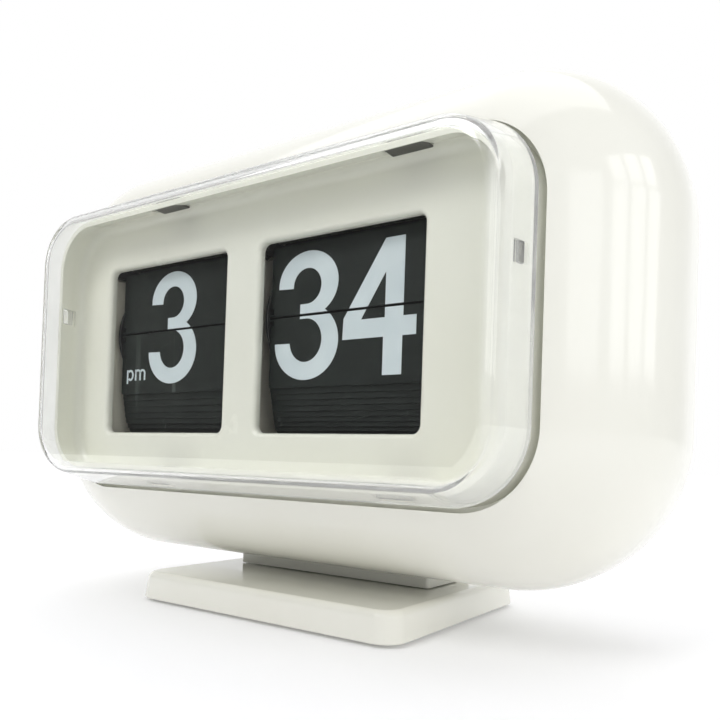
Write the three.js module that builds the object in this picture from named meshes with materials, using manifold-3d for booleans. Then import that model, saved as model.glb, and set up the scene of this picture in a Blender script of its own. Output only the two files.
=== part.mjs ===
// Flip number clock: a pillow-shaped housing on a flat stand, with a clear front cover over a tray-like
// dial, an hour drum and a minute drum of falling flaps, and a battery-driven gear train.
// Millimetres. x runs along the clock, y from front to back, z up; z = 0 is the underside of the feet.
import * as THREE from "three";
import { mergeVertices } from "three/addons/utils/BufferGeometryUtils.js";
import Module from "manifold-3d";

const wasm = await Module();
wasm.setup();

// ---------------------------------------------------------------- driving dimensions

const CLEARANCE = 0.3; // between pieces that touch
const RUNNING_GAP = 0.4; // between pieces that turn side by side

// Housing: two half shells that meet at a seam plane.
const BODY_WIDTH = 207;
const BODY_HEIGHT = 130.4;
const FACE_CORNER = 2.3; // corner radius of the flat front and back faces
const BODY_ROLL = 37.7; // radius that rolls the sides over to the front and back
const BODY_BAND = 5.4; // straight band between the two rolls
const BODY_BACK_Y = 45.5;
const BODY_LIFT = 4.2; // gap under the body, over the stand plate
const BODY_WALL = 2.5;
const SEAM_LIP = 1.1; // thickness of the lip that joins the half shells
const SEAM_LIP_LENGTH = 3;

// Clear cover, widening towards the housing.
const COVER_WIDTH = 151.8; // at its front edge
const COVER_HEIGHT = 76.8;
const COVER_CORNER = 14;
const COVER_FLARE = 5; // widening of each side from front to back
const COVER_DEPTH = 16.2;
const COVER_WALL = 1.8;
const COVER_EDGE = 2.5; // rounding of the front edge
const COVER_SINK = 3.5; // how far the cover reaches into the housing
const COVER_DROP = 0.8; // middle of the cover below the middle of the body

// Dial: a shallow tray behind the cover, with one window for the hours and one for the minutes.
const TRAY_RIM_DEPTH = 7.6; // behind the cover's front
const TRAY_PANEL_DEPTH = 16.5; // behind the cover's front
const TRAY_WALL = 1.6;
const TRAY_FILLET = 3.5;
const PANEL_THICKNESS = 2.3;
const FLANGE_WIDTH = 3;
const FLANGE_SETBACK = 5.6; // behind the cover's back edge
const FLANGE_THICKNESS = 1.6;
const WINDOW_SIDE_GAP = 0.4; // window edge beside the flaps
const WINDOW_HEIGHT = 51.4;
const WINDOW_CORNER = 2.2;
const WINDOW_EASE = 1.4; // rounding of the window's front edge
const WINDOW_DROP = 0.5; // middle of the windows below the middle of the cover
const WINDOWS_X = -5.05; // middle of the pair of windows
const DRUM_SPACE = 13.5; // between the flaps of the two drums

// Clips that hold the cover on the tray.
const CLIP_WIDTH = 8;
const CLIP_DEPTH = 1.6;
const CLIP_THICKNESS = 0.9;
const CLIP_BEHIND_RIM = 1;
const CLIP_LEFT_X = -29;
const CLIP_RIGHT_X = 50;
const CLIP_SIDE_RISE = 10.6; // above the middle of the cover

// Flaps and drums.
const FLAP_WIDTH = 50;
const FLAP_HEIGHT = 19;
const FLAP_THICKNESS = 0.5;
const FLAP_SETBACK = 3.1; // middle of the standing flap behind the dial panel
const SPLIT_RISE = 6.1; // line between the flaps above the middle of the window
const PIN_CIRCLE = 15.3; // radius of the circle of flap pins
const DISC_THICKNESS = 1.5;
const DISC_MARGIN = 1.6; // disc rim outside the pin circle
const HUB_RADIUS = 6;
const FLAP_STEPS = 12; // visible steps in a fan of resting flaps
const DRUM_STEP = 0.6; // height of those steps
const FAN_STEP_SHARE = 0.75; // place of each step between two tips
const WAITING_ANGLES = [12, 160]; // degrees above the front pin
const FALLEN_ANGLES = [-20, -85];
const STOP_WIDTH = 2.4; // nub beside the standing flap
const STOP_HEIGHT = 2.4;
const STOP_REACH = 1.8;
const STOP_OVERLAP = 1; // down beside the flap's edge
const STOP_ARM_LENGTH = 8;
const FLAP_LEAN = 0.4; // share of its depth that a hanging flap's tip leans forwards

// Gear train.
const SHAFT_RADIUS = 1.5;
const BORE_GAP = 0.3;
const REDUCTION_MODULE = 0.643; // minute pinion and arbor wheel
const MINUTE_PINION_TEETH = 8;
const ARBOR_WHEEL_TEETH = 48;
const ARBOR_PINION_TEETH = 9;
const HOUR_WHEEL_TEETH = 36;
const MINUTE_WHEEL_TEETH = 40;
const MOTOR_PINION_TEETH = 8;
const IDLER_TEETH = 28;
const SETTING_TEETH = 20;
const GEAR_THICKNESS = 2.2;
const TOOTH_ROOT = 1.05; // depth of a tooth inside its pitch circle, in modules
const TOOTH_TIP = 0.75; // and outside it
const ROOT_SHARE = 0.27; // half width of a tooth at its root, in pitches
const TIP_SHARE = 0.12; // and at its tip
const PLATE_THICKNESS = 1.5;
const PLATE_SETBACK = 0.7; // front edge behind the dial panel
const PLATE_BELOW_BATTERY = 3; // leg below the battery's axis
const PLATE_ABOVE_FLAPS = 6;
const PLATE_STEP = 1.3; // front corner below the tip of the standing flap, under the flap stops
const PLATE_STEP_LENGTH = 7.5;
const PLATE_SLOPE_LENGTH = 7;
const PLATE_SIDE_GAP = 1.2; // left plate beside the hour drum
const WHEEL_SIDE_GAP = 1.5; // right plate beside the minute wheel
const PLATE_END = 1; // shaft and rods stand out of the plates
const ARM_HALF_HEIGHT = 7; // bracket of the setting wheel
const ARM_END = 5; // behind the setting axis
const ROD_INSET = 4; // tie rods inside the plates' edges
const ROD_FRONT_INSET = 8.5;
const ROD_BELOW_FLAPS = 3.7; // bottom rod's axis below the lowest flap tip
const ROD_WHEEL_GAP = 0.8; // back rod beside the arbor wheel
const ROD_RADIUS = 2;
const SPINDLE_RADIUS = 1;
const SETTING_WHEEL_THICKNESS = 6;
const SETTING_PROTRUSION = 2.5; // how far the setting wheel stands out of the back
const SETTING_WHEEL_GAP = 3.9; // beside the right frame plate
const SETTING_RADIUS = 15.3;
const SETTING_RIDGES = 30;
const MOTOR_RADIUS = 14;
const MOTOR_LENGTH = 14;
const MOTOR_ANGLE = -60; // degrees below the line to the back, seen from the drum shaft
const BOARD_THICKNESS = 1.6;
const BOARD_DEPTH = 26;
const BOARD_HEIGHT = 24;

// Battery, along x, in a trough at the bottom back.
const BATTERY_RADIUS = 16.6;
const BATTERY_LENGTH = 59.5;
const BATTERY_NUB_RADIUS = 4.5;
const BATTERY_NUB_LENGTH = 1.5;
const BATTERY_X = -4;
const BATTERY_ANGLE = 30.3; // degrees below the line to the back, seen from the roll's centre
const TROUGH_SPACE = 1.3; // between trough and housing
const TROUGH_TOP_SPACE = 0.9; // between trough and frame plates
const TROUGH_GAP = 0.6;
const TROUGH_WALL = 1.4;
const TROUGH_FROM = 172; // degrees, counted from the back, over the top
const TROUGH_TO = 305;
const SPRING_WIRE = 0.5; // radius
const SPRING_RADIUS = 7;
const SPRING_TIP_RADIUS = 3.5;
const SPRING_TURNS = 3;
const NUB_SPACE = 2; // beside the nub, for the contact plate
const CONTACT_THICKNESS = 0.6;
const CONTACT_DEPTH = 12;
const CONTACT_HEIGHT = 16;
const TROUGH_RIM = 2; // end walls above the battery's axis
const CONTACT_SPACE = 5; // for the spring at the flat end
const DOOR_WIDTH = 74;
const DOOR_BELOW = 15; // below the battery's axis
const DOOR_ABOVE = 19;
const DOOR_GAP = 0.4;

// Stand.
const STAND_WIDTH = 92.4;
const STAND_DEPTH = 76.4;
const STAND_BEHIND = 0.5; // behind the body
const STAND_HEIGHT = 8;
const STAND_CORNER = 6;
const STAND_EDGE = 2; // rounding of the top edge
const STAND_DRAFT = 0.6; // narrowing of each side from bottom to top
const NECK_WIDTH = 72.4;
const NECK_DEPTH = 27.5;
const NECK_INSET = 14; // in front of the stand's back edge
const FOOT_HEIGHT = 0.8;
const FOOT_RADIUS = 5;
const FOOT_SINK = 1.2; // depth of the foot's seat in the stand
const FOOT_INSET = 12;

const SCREW_HEAD_RADIUS = 2.6;
const SCREW_HEAD = 1.8;
const SCREW_RADIUS = 1.4;
const POST_RADIUS = 4;
const STAND_SCREW_X = 25;
const STAND_SCREW_REACH = 8; // into the body
const HEAD_SEAT_Z = 5;
const POST_INSET = 15.5; // housing posts inside the body's sides
const POST_DROP = 37; // and below its top
const POST_END = 15.5; // in front of the body's back
const HEAD_SEAT = 3.5; // thickness of the boss under a screw head
const SCREW_REACH = 8; // into the front post

// Steps of the rounded surfaces.
const ROLL_STEPS = 6;
const CORNER_STEPS = 6;
const EDGE_STEPS = 2;
const ROUND_SIDES = 16;
const BORE_SIDES = 8;
const SPRING_STEPS = 42;

// ---------------------------------------------------------------- derived places

const BODY_CORNER = BODY_ROLL + FACE_CORNER; // corner radius seen from the front
const BODY_DEPTH = 2 * BODY_ROLL + BODY_BAND;
const BODY_FRONT_Y = BODY_BACK_Y - BODY_DEPTH;
const STAND_TOP_Z = FOOT_HEIGHT + STAND_HEIGHT;
const BODY_BOTTOM_Z = STAND_TOP_Z + BODY_LIFT;
const BODY_CENTRE_Z = BODY_BOTTOM_Z + BODY_HEIGHT / 2;
const STAND_BACK_Y = BODY_BACK_Y + STAND_BEHIND;
const STAND_FRONT_Y = STAND_BACK_Y - STAND_DEPTH;
const NECK_BACK_Y = STAND_BACK_Y - NECK_INSET;
const NECK_FRONT_Y = NECK_BACK_Y - NECK_DEPTH;
const STAND_SCREW_TOP_Z = BODY_BOTTOM_Z + STAND_SCREW_REACH;

const COVER_BACK_Y = BODY_FRONT_Y + COVER_SINK;
const COVER_FRONT_Y = COVER_BACK_Y - COVER_DEPTH;
const COVER_CENTRE_Z = BODY_CENTRE_Z - COVER_DROP;
const FLANGE_BACK_Y = COVER_BACK_Y + FLANGE_SETBACK;
const CLIP_SIDE_Z = COVER_CENTRE_Z + CLIP_SIDE_RISE;
const WINDOW_CENTRE_Z = COVER_CENTRE_Z - WINDOW_DROP;
const WINDOW_WIDTH = FLAP_WIDTH + 2 * WINDOW_SIDE_GAP;
const HOUR_X = WINDOWS_X - (FLAP_WIDTH + DRUM_SPACE) / 2; // middle of the hour window and drum
const MINUTE_X = WINDOWS_X + (FLAP_WIDTH + DRUM_SPACE) / 2; // middle of the minute window and drum
const SEAM_Y = BODY_BACK_Y - BODY_ROLL - BODY_BAND / 2;
const RIM_Y = COVER_FRONT_Y + TRAY_RIM_DEPTH;
const PANEL_Y = COVER_FRONT_Y + TRAY_PANEL_DEPTH;
const PANEL_BACK_Y = PANEL_Y + PANEL_THICKNESS;
const FLAP_PLANE_Y = PANEL_BACK_Y + FLAP_SETBACK;
const SPLIT_Z = WINDOW_CENTRE_Z + SPLIT_RISE;
const DRUM_Y = FLAP_PLANE_Y + PIN_CIRCLE;
const DRUM_Z = SPLIT_Z;
const DISC_RADIUS = PIN_CIRCLE + DISC_MARGIN;
const DRUM_HALF = FLAP_WIDTH / 2 + RUNNING_GAP + DISC_THICKNESS; // half length of a drum over its discs

const ARBOR_DISTANCE = (REDUCTION_MODULE * (MINUTE_PINION_TEETH + ARBOR_WHEEL_TEETH)) / 2;
const HOUR_MODULE = (2 * ARBOR_DISTANCE) / (ARBOR_PINION_TEETH + HOUR_WHEEL_TEETH);
const ARBOR_Y = DRUM_Y + ARBOR_DISTANCE;
const SETTING_Y = BODY_BACK_Y + SETTING_PROTRUSION - SETTING_RADIUS;
const SETTING_TRAIN_TEETH = MINUTE_WHEEL_TEETH + 2 * IDLER_TEETH + SETTING_TEETH;
const TRAIN_MODULE = (2 * (SETTING_Y - DRUM_Y)) / SETTING_TRAIN_TEETH; // drive and setting gears
const MOTOR_DISTANCE = (TRAIN_MODULE * (MINUTE_WHEEL_TEETH + MOTOR_PINION_TEETH)) / 2;
const IDLER_Y = DRUM_Y + (TRAIN_MODULE * (MINUTE_WHEEL_TEETH + IDLER_TEETH)) / 2;
const MOTOR_Y = DRUM_Y + MOTOR_DISTANCE * Math.cos(THREE.MathUtils.degToRad(MOTOR_ANGLE));
const MOTOR_Z = DRUM_Z + MOTOR_DISTANCE * Math.sin(THREE.MathUtils.degToRad(MOTOR_ANGLE));

// Places along the drum shaft, from left to right.
const LEFT_PLATE_X = HOUR_X - DRUM_HALF - PLATE_SIDE_GAP - PLATE_THICKNESS;
const HOUR_WHEEL_X = HOUR_X + DRUM_HALF + CLEARANCE;
const ARBOR_WHEEL_X = MINUTE_X - DRUM_HALF - CLEARANCE - GEAR_THICKNESS;
const MIDDLE_PLATE_X = (HOUR_WHEEL_X + GEAR_THICKNESS + ARBOR_WHEEL_X - PLATE_THICKNESS) / 2;
const MINUTE_WHEEL_X = MINUTE_X + DRUM_HALF + CLEARANCE;
const RIGHT_PLATE_X = MINUTE_WHEEL_X + GEAR_THICKNESS + WHEEL_SIDE_GAP;
const PLATES_END_X = RIGHT_PLATE_X + PLATE_THICKNESS;
const SETTING_WHEEL_X = PLATES_END_X + SETTING_WHEEL_GAP + SETTING_WHEEL_THICKNESS / 2;

// Battery and frame plates, seen from the side.
const TROUGH_RADIUS = BATTERY_RADIUS + TROUGH_GAP; // inside
const TROUGH_OUTER_RADIUS = TROUGH_RADIUS + TROUGH_WALL;
const BATTERY_REACH = BODY_ROLL - BODY_WALL - TROUGH_OUTER_RADIUS - TROUGH_SPACE;
const BATTERY_SLOPE = THREE.MathUtils.degToRad(BATTERY_ANGLE);
const BATTERY_Y = BODY_BACK_Y - BODY_ROLL + BATTERY_REACH * Math.cos(BATTERY_SLOPE);
const BATTERY_Z = BODY_BOTTOM_Z + BODY_ROLL - BATTERY_REACH * Math.sin(BATTERY_SLOPE);
const DOOR_BOTTOM_Z = BATTERY_Z - DOOR_BELOW;
const DOOR_TOP_Z = BATTERY_Z + DOOR_ABOVE;
const FLAP_TOP_Z = SPLIT_Z + CLEARANCE + FLAP_HEIGHT;
const PLATE_FRONT_Y = PANEL_BACK_Y + PLATE_SETBACK;
const PLATE_TOP_Z = SPLIT_Z + FLAP_HEIGHT + PLATE_ABOVE_FLAPS;
const PLATE_STEP_Z = FLAP_TOP_Z - PLATE_STEP;
const NOTCH_Y = BATTERY_Y - TROUGH_OUTER_RADIUS - CLEARANCE;
const NOTCH_Z = BATTERY_Z + TROUGH_OUTER_RADIUS + TROUGH_TOP_SPACE;
const ARBOR_TIP_RADIUS = REDUCTION_MODULE * (ARBOR_WHEEL_TEETH / 2 + TOOTH_TIP);
const ROD_ORBIT = ARBOR_TIP_RADIUS + ROD_WHEEL_GAP + ROD_RADIUS;
const BACK_ROD_Z = NOTCH_Z + ROD_INSET;
const BACK_ROD_Y = ARBOR_Y + Math.sqrt(Math.max(ROD_ORBIT ** 2 - (DRUM_Z - BACK_ROD_Z) ** 2, 0));
const BOTTOM_ROD_Z = SPLIT_Z - PIN_CIRCLE - FLAP_HEIGHT - ROD_BELOW_FLAPS;
const PLATE_BACK_Y = BACK_ROD_Y + ROD_INSET;
const PLATE_BOTTOM_Z = BOTTOM_ROD_Z - ROD_INSET;
const LEG_BOTTOM_Z = Math.min(BATTERY_Z - PLATE_BELOW_BATTERY, PLATE_BOTTOM_Z - CLEARANCE);
const LEG_Y = PLATE_FRONT_Y + ROD_FRONT_INSET + ROD_INSET;

const rodPlaces = [
  { name: "tie_rod_top", y: BACK_ROD_Y, z: PLATE_TOP_Z - ROD_INSET },
  { name: "tie_rod_back", y: BACK_ROD_Y, z: BACK_ROD_Z },
  { name: "tie_rod_bottom", y: PLATE_FRONT_Y + ROD_FRONT_INSET, z: BOTTOM_ROD_Z },
];

// ---------------------------------------------------------------- colours

const finish = (color, roughness, metalness = 0, extra = {}) =>
  new THREE.MeshStandardMaterial({ color, roughness, metalness, ...extra });

const CREAM = () => finish(0xf0f0ea, 0.22);
const TRAY_CREAM = () => finish(0xe4e4d9, 0.45);
const CLEAR = () => finish(0xf6f8f6, 0.05, 0, { transparent: true, opacity: 0.3 });
const FLAP_BLACK = () => finish(0x2c3431, 0.55);
const NYLON = () => finish(0xd9d8cc, 0.5);
const GEAR_WHITE = () => finish(0xe8e6dc, 0.5);
const DARK_PLASTIC = () => finish(0x2b2c2c, 0.5);
const STEEL = () => finish(0xb8babc, 0.35, 1);
const BRASS = () => finish(0xc0a055, 0.35, 1);
const RUBBER = () => finish(0x3a3a38, 0.9);
const JACKET = () => finish(0x3d5a80, 0.4);
const BOARD_GREEN = () => finish(0x2f6b45, 0.5);

// ---------------------------------------------------------------- shape helpers

const clock = new THREE.Group();

function solid(geometry) {
  const bare = geometry.index ? geometry.clone() : geometry;
  bare.deleteAttribute("normal");
  bare.deleteAttribute("uv");
  const merged = mergeVertices(bare, 1e-4);
  return new wasm.Manifold(
    new wasm.Mesh({
      numProp: 3,
      vertProperties: new Float32Array(merged.attributes.position.array),
      triVerts: new Uint32Array(merged.index.array),
    }),
  );
}

function add(name, shape, material) {
  const { vertProperties, triVerts } = shape.getMesh();
  const geometry = new THREE.BufferGeometry();
  geometry.setAttribute("position", new THREE.BufferAttribute(vertProperties, 3));
  geometry.setIndex(new THREE.BufferAttribute(triVerts, 1));
  geometry.computeVertexNormals();
  const mesh = new THREE.Mesh(geometry, material);
  mesh.name = name;
  clock.add(mesh);
}

const join = (...shapes) => shapes.reduce((whole, shape) => whole.add(shape));
const cut = (shape, ...tools) => tools.reduce((rest, tool) => rest.subtract(tool), shape);

function box(x0, x1, y0, y1, z0, z1) {
  const geometry = new THREE.BoxGeometry(x1 - x0, y1 - y0, z1 - z0);
  geometry.translate((x0 + x1) / 2, (y0 + y1) / 2, (z0 + z1) / 2);
  return solid(geometry);
}

// Cylinder along x at (y, z).
function rodX(x0, x1, y, z, radius, sides = ROUND_SIDES) {
  const geometry = new THREE.CylinderGeometry(radius, radius, x1 - x0, sides);
  geometry.rotateZ(Math.PI / 2);
  geometry.translate((x0 + x1) / 2, y, z);
  return solid(geometry);
}

// Cylinder along y at (x, z).
function rodY(y0, y1, x, z, radius, sides = ROUND_SIDES) {
  const geometry = new THREE.CylinderGeometry(radius, radius, y1 - y0, sides);
  geometry.translate(x, (y0 + y1) / 2, z);
  return solid(geometry);
}

// Cylinder along z at (x, y).
function rodZ(z0, z1, x, y, radius, sides = ROUND_SIDES) {
  const geometry = new THREE.CylinderGeometry(radius, radius, z1 - z0, sides);
  geometry.rotateX(Math.PI / 2);
  geometry.translate(x, y, (z0 + z1) / 2);
  return solid(geometry);
}

// Slab from x0 to x1 whose outline is drawn in (y, z).
function slabX(outline, x0, x1, curveSegments = 8) {
  const geometry = new THREE.ExtrudeGeometry(outline, { depth: x1 - x0, bevelEnabled: false, curveSegments });
  const axes = new THREE.Matrix4().makeBasis(
    new THREE.Vector3(0, 1, 0),
    new THREE.Vector3(0, 0, 1),
    new THREE.Vector3(1, 0, 0),
  );
  geometry.applyMatrix4(axes);
  geometry.translate(x0, 0, 0);
  return solid(geometry);
}

const polygon = (points) => new THREE.Shape(points.map(([a, b]) => new THREE.Vector2(a, b)));

// Rounded rectangle as a ring of points; every ring has the same number of points.
function ring(halfWidth, halfHeight, radius, segments) {
  const shape = new THREE.Shape();
  const r = Math.max(radius, 0.05);
  const [w, h] = [halfWidth - r, halfHeight - r];
  shape.absarc(w, h, r, 0, Math.PI / 2);
  shape.absarc(-w, h, r, Math.PI / 2, Math.PI);
  shape.absarc(-w, -h, r, Math.PI, 1.5 * Math.PI);
  shape.absarc(w, -h, r, 1.5 * Math.PI, 2 * Math.PI);
  return shape.getPoints(segments);
}

// Closed solid through a stack of rounded rectangles. Each section gives its place along the stack,
// its half sizes and its corner radius; "toPoint" turns (across, up, along) into a point in space.
function loft(sections, toPoint, segments = CORNER_STEPS) {
  const rings = sections.map((s) => ring(s.halfWidth, s.halfHeight, s.radius, segments));
  const count = rings[0].length;
  const positions = [];
  rings.forEach((points, i) => points.forEach((p) => positions.push(...toPoint(p.x, p.y, sections[i].at))));
  const indices = [];
  for (let i = 0; i + 1 < rings.length; i += 1) {
    for (let j = 0; j < count; j += 1) {
      const a = i * count + j;
      const b = i * count + ((j + 1) % count);
      indices.push(a, b, b + count, a, b + count, a + count);
    }
  }
  const top = (rings.length - 1) * count;
  for (let j = 1; j + 1 < count; j += 1) {
    indices.push(0, j + 1, j);
    indices.push(top, top + j, top + j + 1);
  }
  const geometry = new THREE.BufferGeometry();
  geometry.setAttribute("position", new THREE.BufferAttribute(new Float32Array(positions), 3));
  geometry.setIndex(indices);
  return solid(geometry);
}

// Stacks that run from back to front at a given height, and from bottom to top at a given y.
const facingFront = (centreX, centreZ) => (a, b, along) => [centreX + a, -along, centreZ + b];
const facingUp = (centreX, centreY) => (a, b, along) => [centreX + a, centreY + b, along];

// Spur gear from x0 to x1 on an axis at (y, z); "turn" is its angle in radians.
function gear(teeth, module, x0, x1, y, z, turn = 0, bore = 0) {
  const pitchRadius = (teeth * module) / 2;
  const root = pitchRadius - TOOTH_ROOT * module;
  const tip = pitchRadius + TOOTH_TIP * module;
  const corners = [[-ROOT_SHARE, root], [-TIP_SHARE, tip], [TIP_SHARE, tip], [ROOT_SHARE, root]];
  const pitch = (2 * Math.PI) / teeth;
  const points = [];
  for (let i = 0; i < teeth; i += 1) {
    for (const [share, radius] of corners) {
      const angle = turn + (i + share) * pitch;
      points.push([y + radius * Math.cos(angle), z + radius * Math.sin(angle)]);
    }
  }
  const wheel = slabX(polygon(points), x0, x1);
  return bore ? cut(wheel, rodX(x0 - 1, x1 + 1, y, z, bore, BORE_SIDES)) : wheel;
}

// Angle of a gear that meshes with another one of "teeth" teeth at angle "turn", seen in "direction".
function meshTurn(teeth, turn, direction, partnerTeeth) {
  const phase = ((direction - turn) * teeth) / (2 * Math.PI);
  const share = phase - Math.floor(phase);
  return direction + Math.PI + ((share + 0.5) * 2 * Math.PI) / partnerTeeth;
}

// ---------------------------------------------------------------- housing

// The whole housing's outside, grown by "grow": rounded rectangles that shrink along a quarter circle
// towards the back and the front.
function pillow(grow) {
  const roll = BODY_ROLL + grow;
  const section = (angle, along) => {
    const inset = BODY_ROLL - roll * Math.cos(angle);
    return {
      at: along,
      halfWidth: BODY_WIDTH / 2 - inset,
      halfHeight: BODY_HEIGHT / 2 - inset,
      radius: BODY_CORNER - inset,
    };
  };
  const sections = [];
  for (let i = 0; i <= ROLL_STEPS; i += 1) {
    const angle = (Math.PI / 2) * (1 - i / ROLL_STEPS);
    sections.push(section(angle, -(BODY_BACK_Y - BODY_ROLL) - roll * Math.sin(angle)));
  }
  for (let i = 0; i <= ROLL_STEPS; i += 1) {
    const angle = (Math.PI / 2) * (i / ROLL_STEPS);
    sections.push(section(angle, -(BODY_FRONT_Y + BODY_ROLL) + roll * Math.sin(angle)));
  }
  return loft(sections, facingFront(0, BODY_CENTRE_Z));
}

// The cover's flared outline, grown by "grow", between two planes, with rounded front or back edges.
function flaredPrism(grow, frontY, backY, frontEdge = 0, backEdge = 0) {
  const section = (y, inset) => {
    const widen = (COVER_FLARE * (y - COVER_FRONT_Y)) / COVER_DEPTH + grow - inset;
    return {
      at: -y,
      halfWidth: COVER_WIDTH / 2 + widen,
      halfHeight: COVER_HEIGHT / 2 + widen,
      radius: COVER_CORNER + widen,
    };
  };
  const sections = [];
  for (let i = backEdge ? EDGE_STEPS : 0; i > 0; i -= 1) {
    const angle = (Math.PI / 2) * (i / EDGE_STEPS);
    sections.push(section(backY - backEdge * (1 - Math.sin(angle)), backEdge * (1 - Math.cos(angle))));
  }
  sections.push(section(backY - backEdge, 0), section(frontY + frontEdge, 0));
  for (let i = 1; frontEdge && i <= EDGE_STEPS; i += 1) {
    const angle = (Math.PI / 2) * (i / EDGE_STEPS);
    sections.push(section(frontY + frontEdge * (1 - Math.sin(angle)), frontEdge * (1 - Math.cos(angle))));
  }
  return loft(sections, facingFront(0, COVER_CENTRE_Z));
}

const outside = pillow(0);
const inside = pillow(-BODY_WALL);
const slice = (y0, y1) => box(-BODY_WIDTH, BODY_WIDTH, y0, y1, -BODY_WIDTH, BODY_WIDTH);
const doorBox = (gap) =>
  box(
    BATTERY_X - DOOR_WIDTH / 2 + gap, BATTERY_X + DOOR_WIDTH / 2 - gap,
    BATTERY_Y, 2 * BODY_BACK_Y, DOOR_BOTTOM_Z + gap, DOOR_TOP_Z - gap,
  );

// Screw posts: the front half carries long posts, the rear half short bosses with sunk heads.
const POST_X = BODY_WIDTH / 2 - POST_INSET;
const POST_RISE = BODY_HEIGHT / 2 - POST_DROP;
const postPlaces = [-1, 1].flatMap((side) => [-1, 1].map((level) => ({
  x: side * POST_X,
  z: BODY_CENTRE_Z + level * POST_RISE,
  name: `housing_screw_${level > 0 ? "top" : "bottom"}_${side > 0 ? "right" : "left"}`,
})));
const POST_END_Y = BODY_BACK_Y - POST_END;
const HEAD_SEAT_Y = POST_END_Y + HEAD_SEAT;
const SCREW_TIP_Y = POST_END_Y - SCREW_REACH;

function addHousings() {
  const shell = cut(outside, inside);
  const opening = flaredPrism(CLEARANCE, BODY_FRONT_Y - 10, BODY_FRONT_Y + 12);
  const lipSeat = cut(pillow(-BODY_WALL + SEAM_LIP + CLEARANCE), inside);
  const seat = lipSeat.intersect(slice(SEAM_Y - SEAM_LIP_LENGTH - CLEARANCE, SEAM_Y));
  let front = cut(shell.intersect(slice(-BODY_DEPTH, SEAM_Y - CLEARANCE / 2)), opening, seat);
  let rear = shell.intersect(slice(SEAM_Y + CLEARANCE / 2, BODY_DEPTH));
  const lip = cut(pillow(-BODY_WALL + SEAM_LIP), inside);
  rear = join(rear, lip.intersect(slice(SEAM_Y - SEAM_LIP_LENGTH, SEAM_Y + CLEARANCE)));

  for (const { x, z, name } of postPlaces) {
    const bore = rodY(SCREW_TIP_Y - 1, BODY_BACK_Y, x, z, SCREW_RADIUS + CLEARANCE, BORE_SIDES);
    const post = rodY(BODY_FRONT_Y, POST_END_Y, x, z, POST_RADIUS).intersect(outside);
    const boss = rodY(POST_END_Y + CLEARANCE, BODY_BACK_Y, x, z, POST_RADIUS).intersect(outside);
    const headHole = rodY(HEAD_SEAT_Y, BODY_BACK_Y, x, z, SCREW_HEAD_RADIUS + CLEARANCE);
    front = cut(join(front, post), bore);
    rear = cut(join(rear, boss), bore, headHole);
    const head = rodY(HEAD_SEAT_Y + CLEARANCE, HEAD_SEAT_Y + CLEARANCE + SCREW_HEAD, x, z, SCREW_HEAD_RADIUS);
    const shank = rodY(SCREW_TIP_Y, HEAD_SEAT_Y + SCREW_HEAD / 2, x, z, SCREW_RADIUS, BORE_SIDES);
    add(name, join(head, shank), STEEL());
  }

  const slotHalf = SETTING_WHEEL_THICKNESS / 2 + 2 * CLEARANCE;
  const pastFlat = Math.max(SETTING_WHEEL_X + slotHalf - (BODY_WIDTH / 2 - BODY_ROLL), 0);
  const innerRoll = BODY_ROLL - BODY_WALL;
  const chordDepth = BODY_BACK_Y - BODY_ROLL + Math.sqrt(innerRoll ** 2 - pastFlat ** 2) - SETTING_Y;
  const slotRise = Math.sqrt(SETTING_RADIUS ** 2 - chordDepth ** 2) + 2 * CLEARANCE;
  const slot = box(
    SETTING_WHEEL_X - slotHalf, SETTING_WHEEL_X + slotHalf, SETTING_Y, 2 * BODY_BACK_Y,
    DRUM_Z - slotRise, DRUM_Z + slotRise,
  );
  for (const { x, y } of standScrewPlaces) {
    const boss = rodZ(BODY_BOTTOM_Z, STAND_SCREW_TOP_Z + 1, x, y, POST_RADIUS).intersect(outside);
    rear = cut(join(rear, boss), rodZ(0, STAND_SCREW_TOP_Z + 2, x, y, SCREW_RADIUS + CLEARANCE, BORE_SIDES));
  }
  add("front_housing", front, CREAM());
  add("rear_housing", cut(rear, doorBox(0), slot), CREAM());
  add("battery_door", shell.intersect(doorBox(DOOR_GAP)), CREAM());
}

// ---------------------------------------------------------------- cover and dial

// Snap lugs at two places along the top and bottom, and at one height on each side.
function clipBlocks(fromWall, toWall, grow) {
  const [y0, y1] = [RIM_Y + CLIP_BEHIND_RIM - grow, RIM_Y + CLIP_BEHIND_RIM + CLIP_DEPTH + grow];
  const outer = flaredPrism(fromWall, COVER_FRONT_Y, COVER_BACK_Y);
  const band = cut(outer, flaredPrism(toWall, COVER_FRONT_Y - 1, COVER_BACK_Y + 1));
  const reach = COVER_WIDTH;
  const half = CLIP_WIDTH / 2 + grow;
  const uprights = [CLIP_LEFT_X, CLIP_RIGHT_X].map((x) => box(x - half, x + half, y0, y1, -reach, reach * 2));
  const level = box(-reach, reach, y0, y1, CLIP_SIDE_Z - half, CLIP_SIDE_Z + half);
  return band.intersect(join(level, ...uprights));
}

function addCover() {
  const skin = flaredPrism(0, COVER_FRONT_Y, COVER_BACK_Y, COVER_EDGE);
  const hollow = flaredPrism(-COVER_WALL, COVER_FRONT_Y + COVER_WALL, COVER_BACK_Y + 1, COVER_EDGE - 1);
  const lugs = clipBlocks(-COVER_WALL / 2, -COVER_WALL - CLEARANCE - CLIP_THICKNESS, 0);
  add("clear_front_cover", join(cut(skin, hollow), lugs), CLEAR());
}

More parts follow.
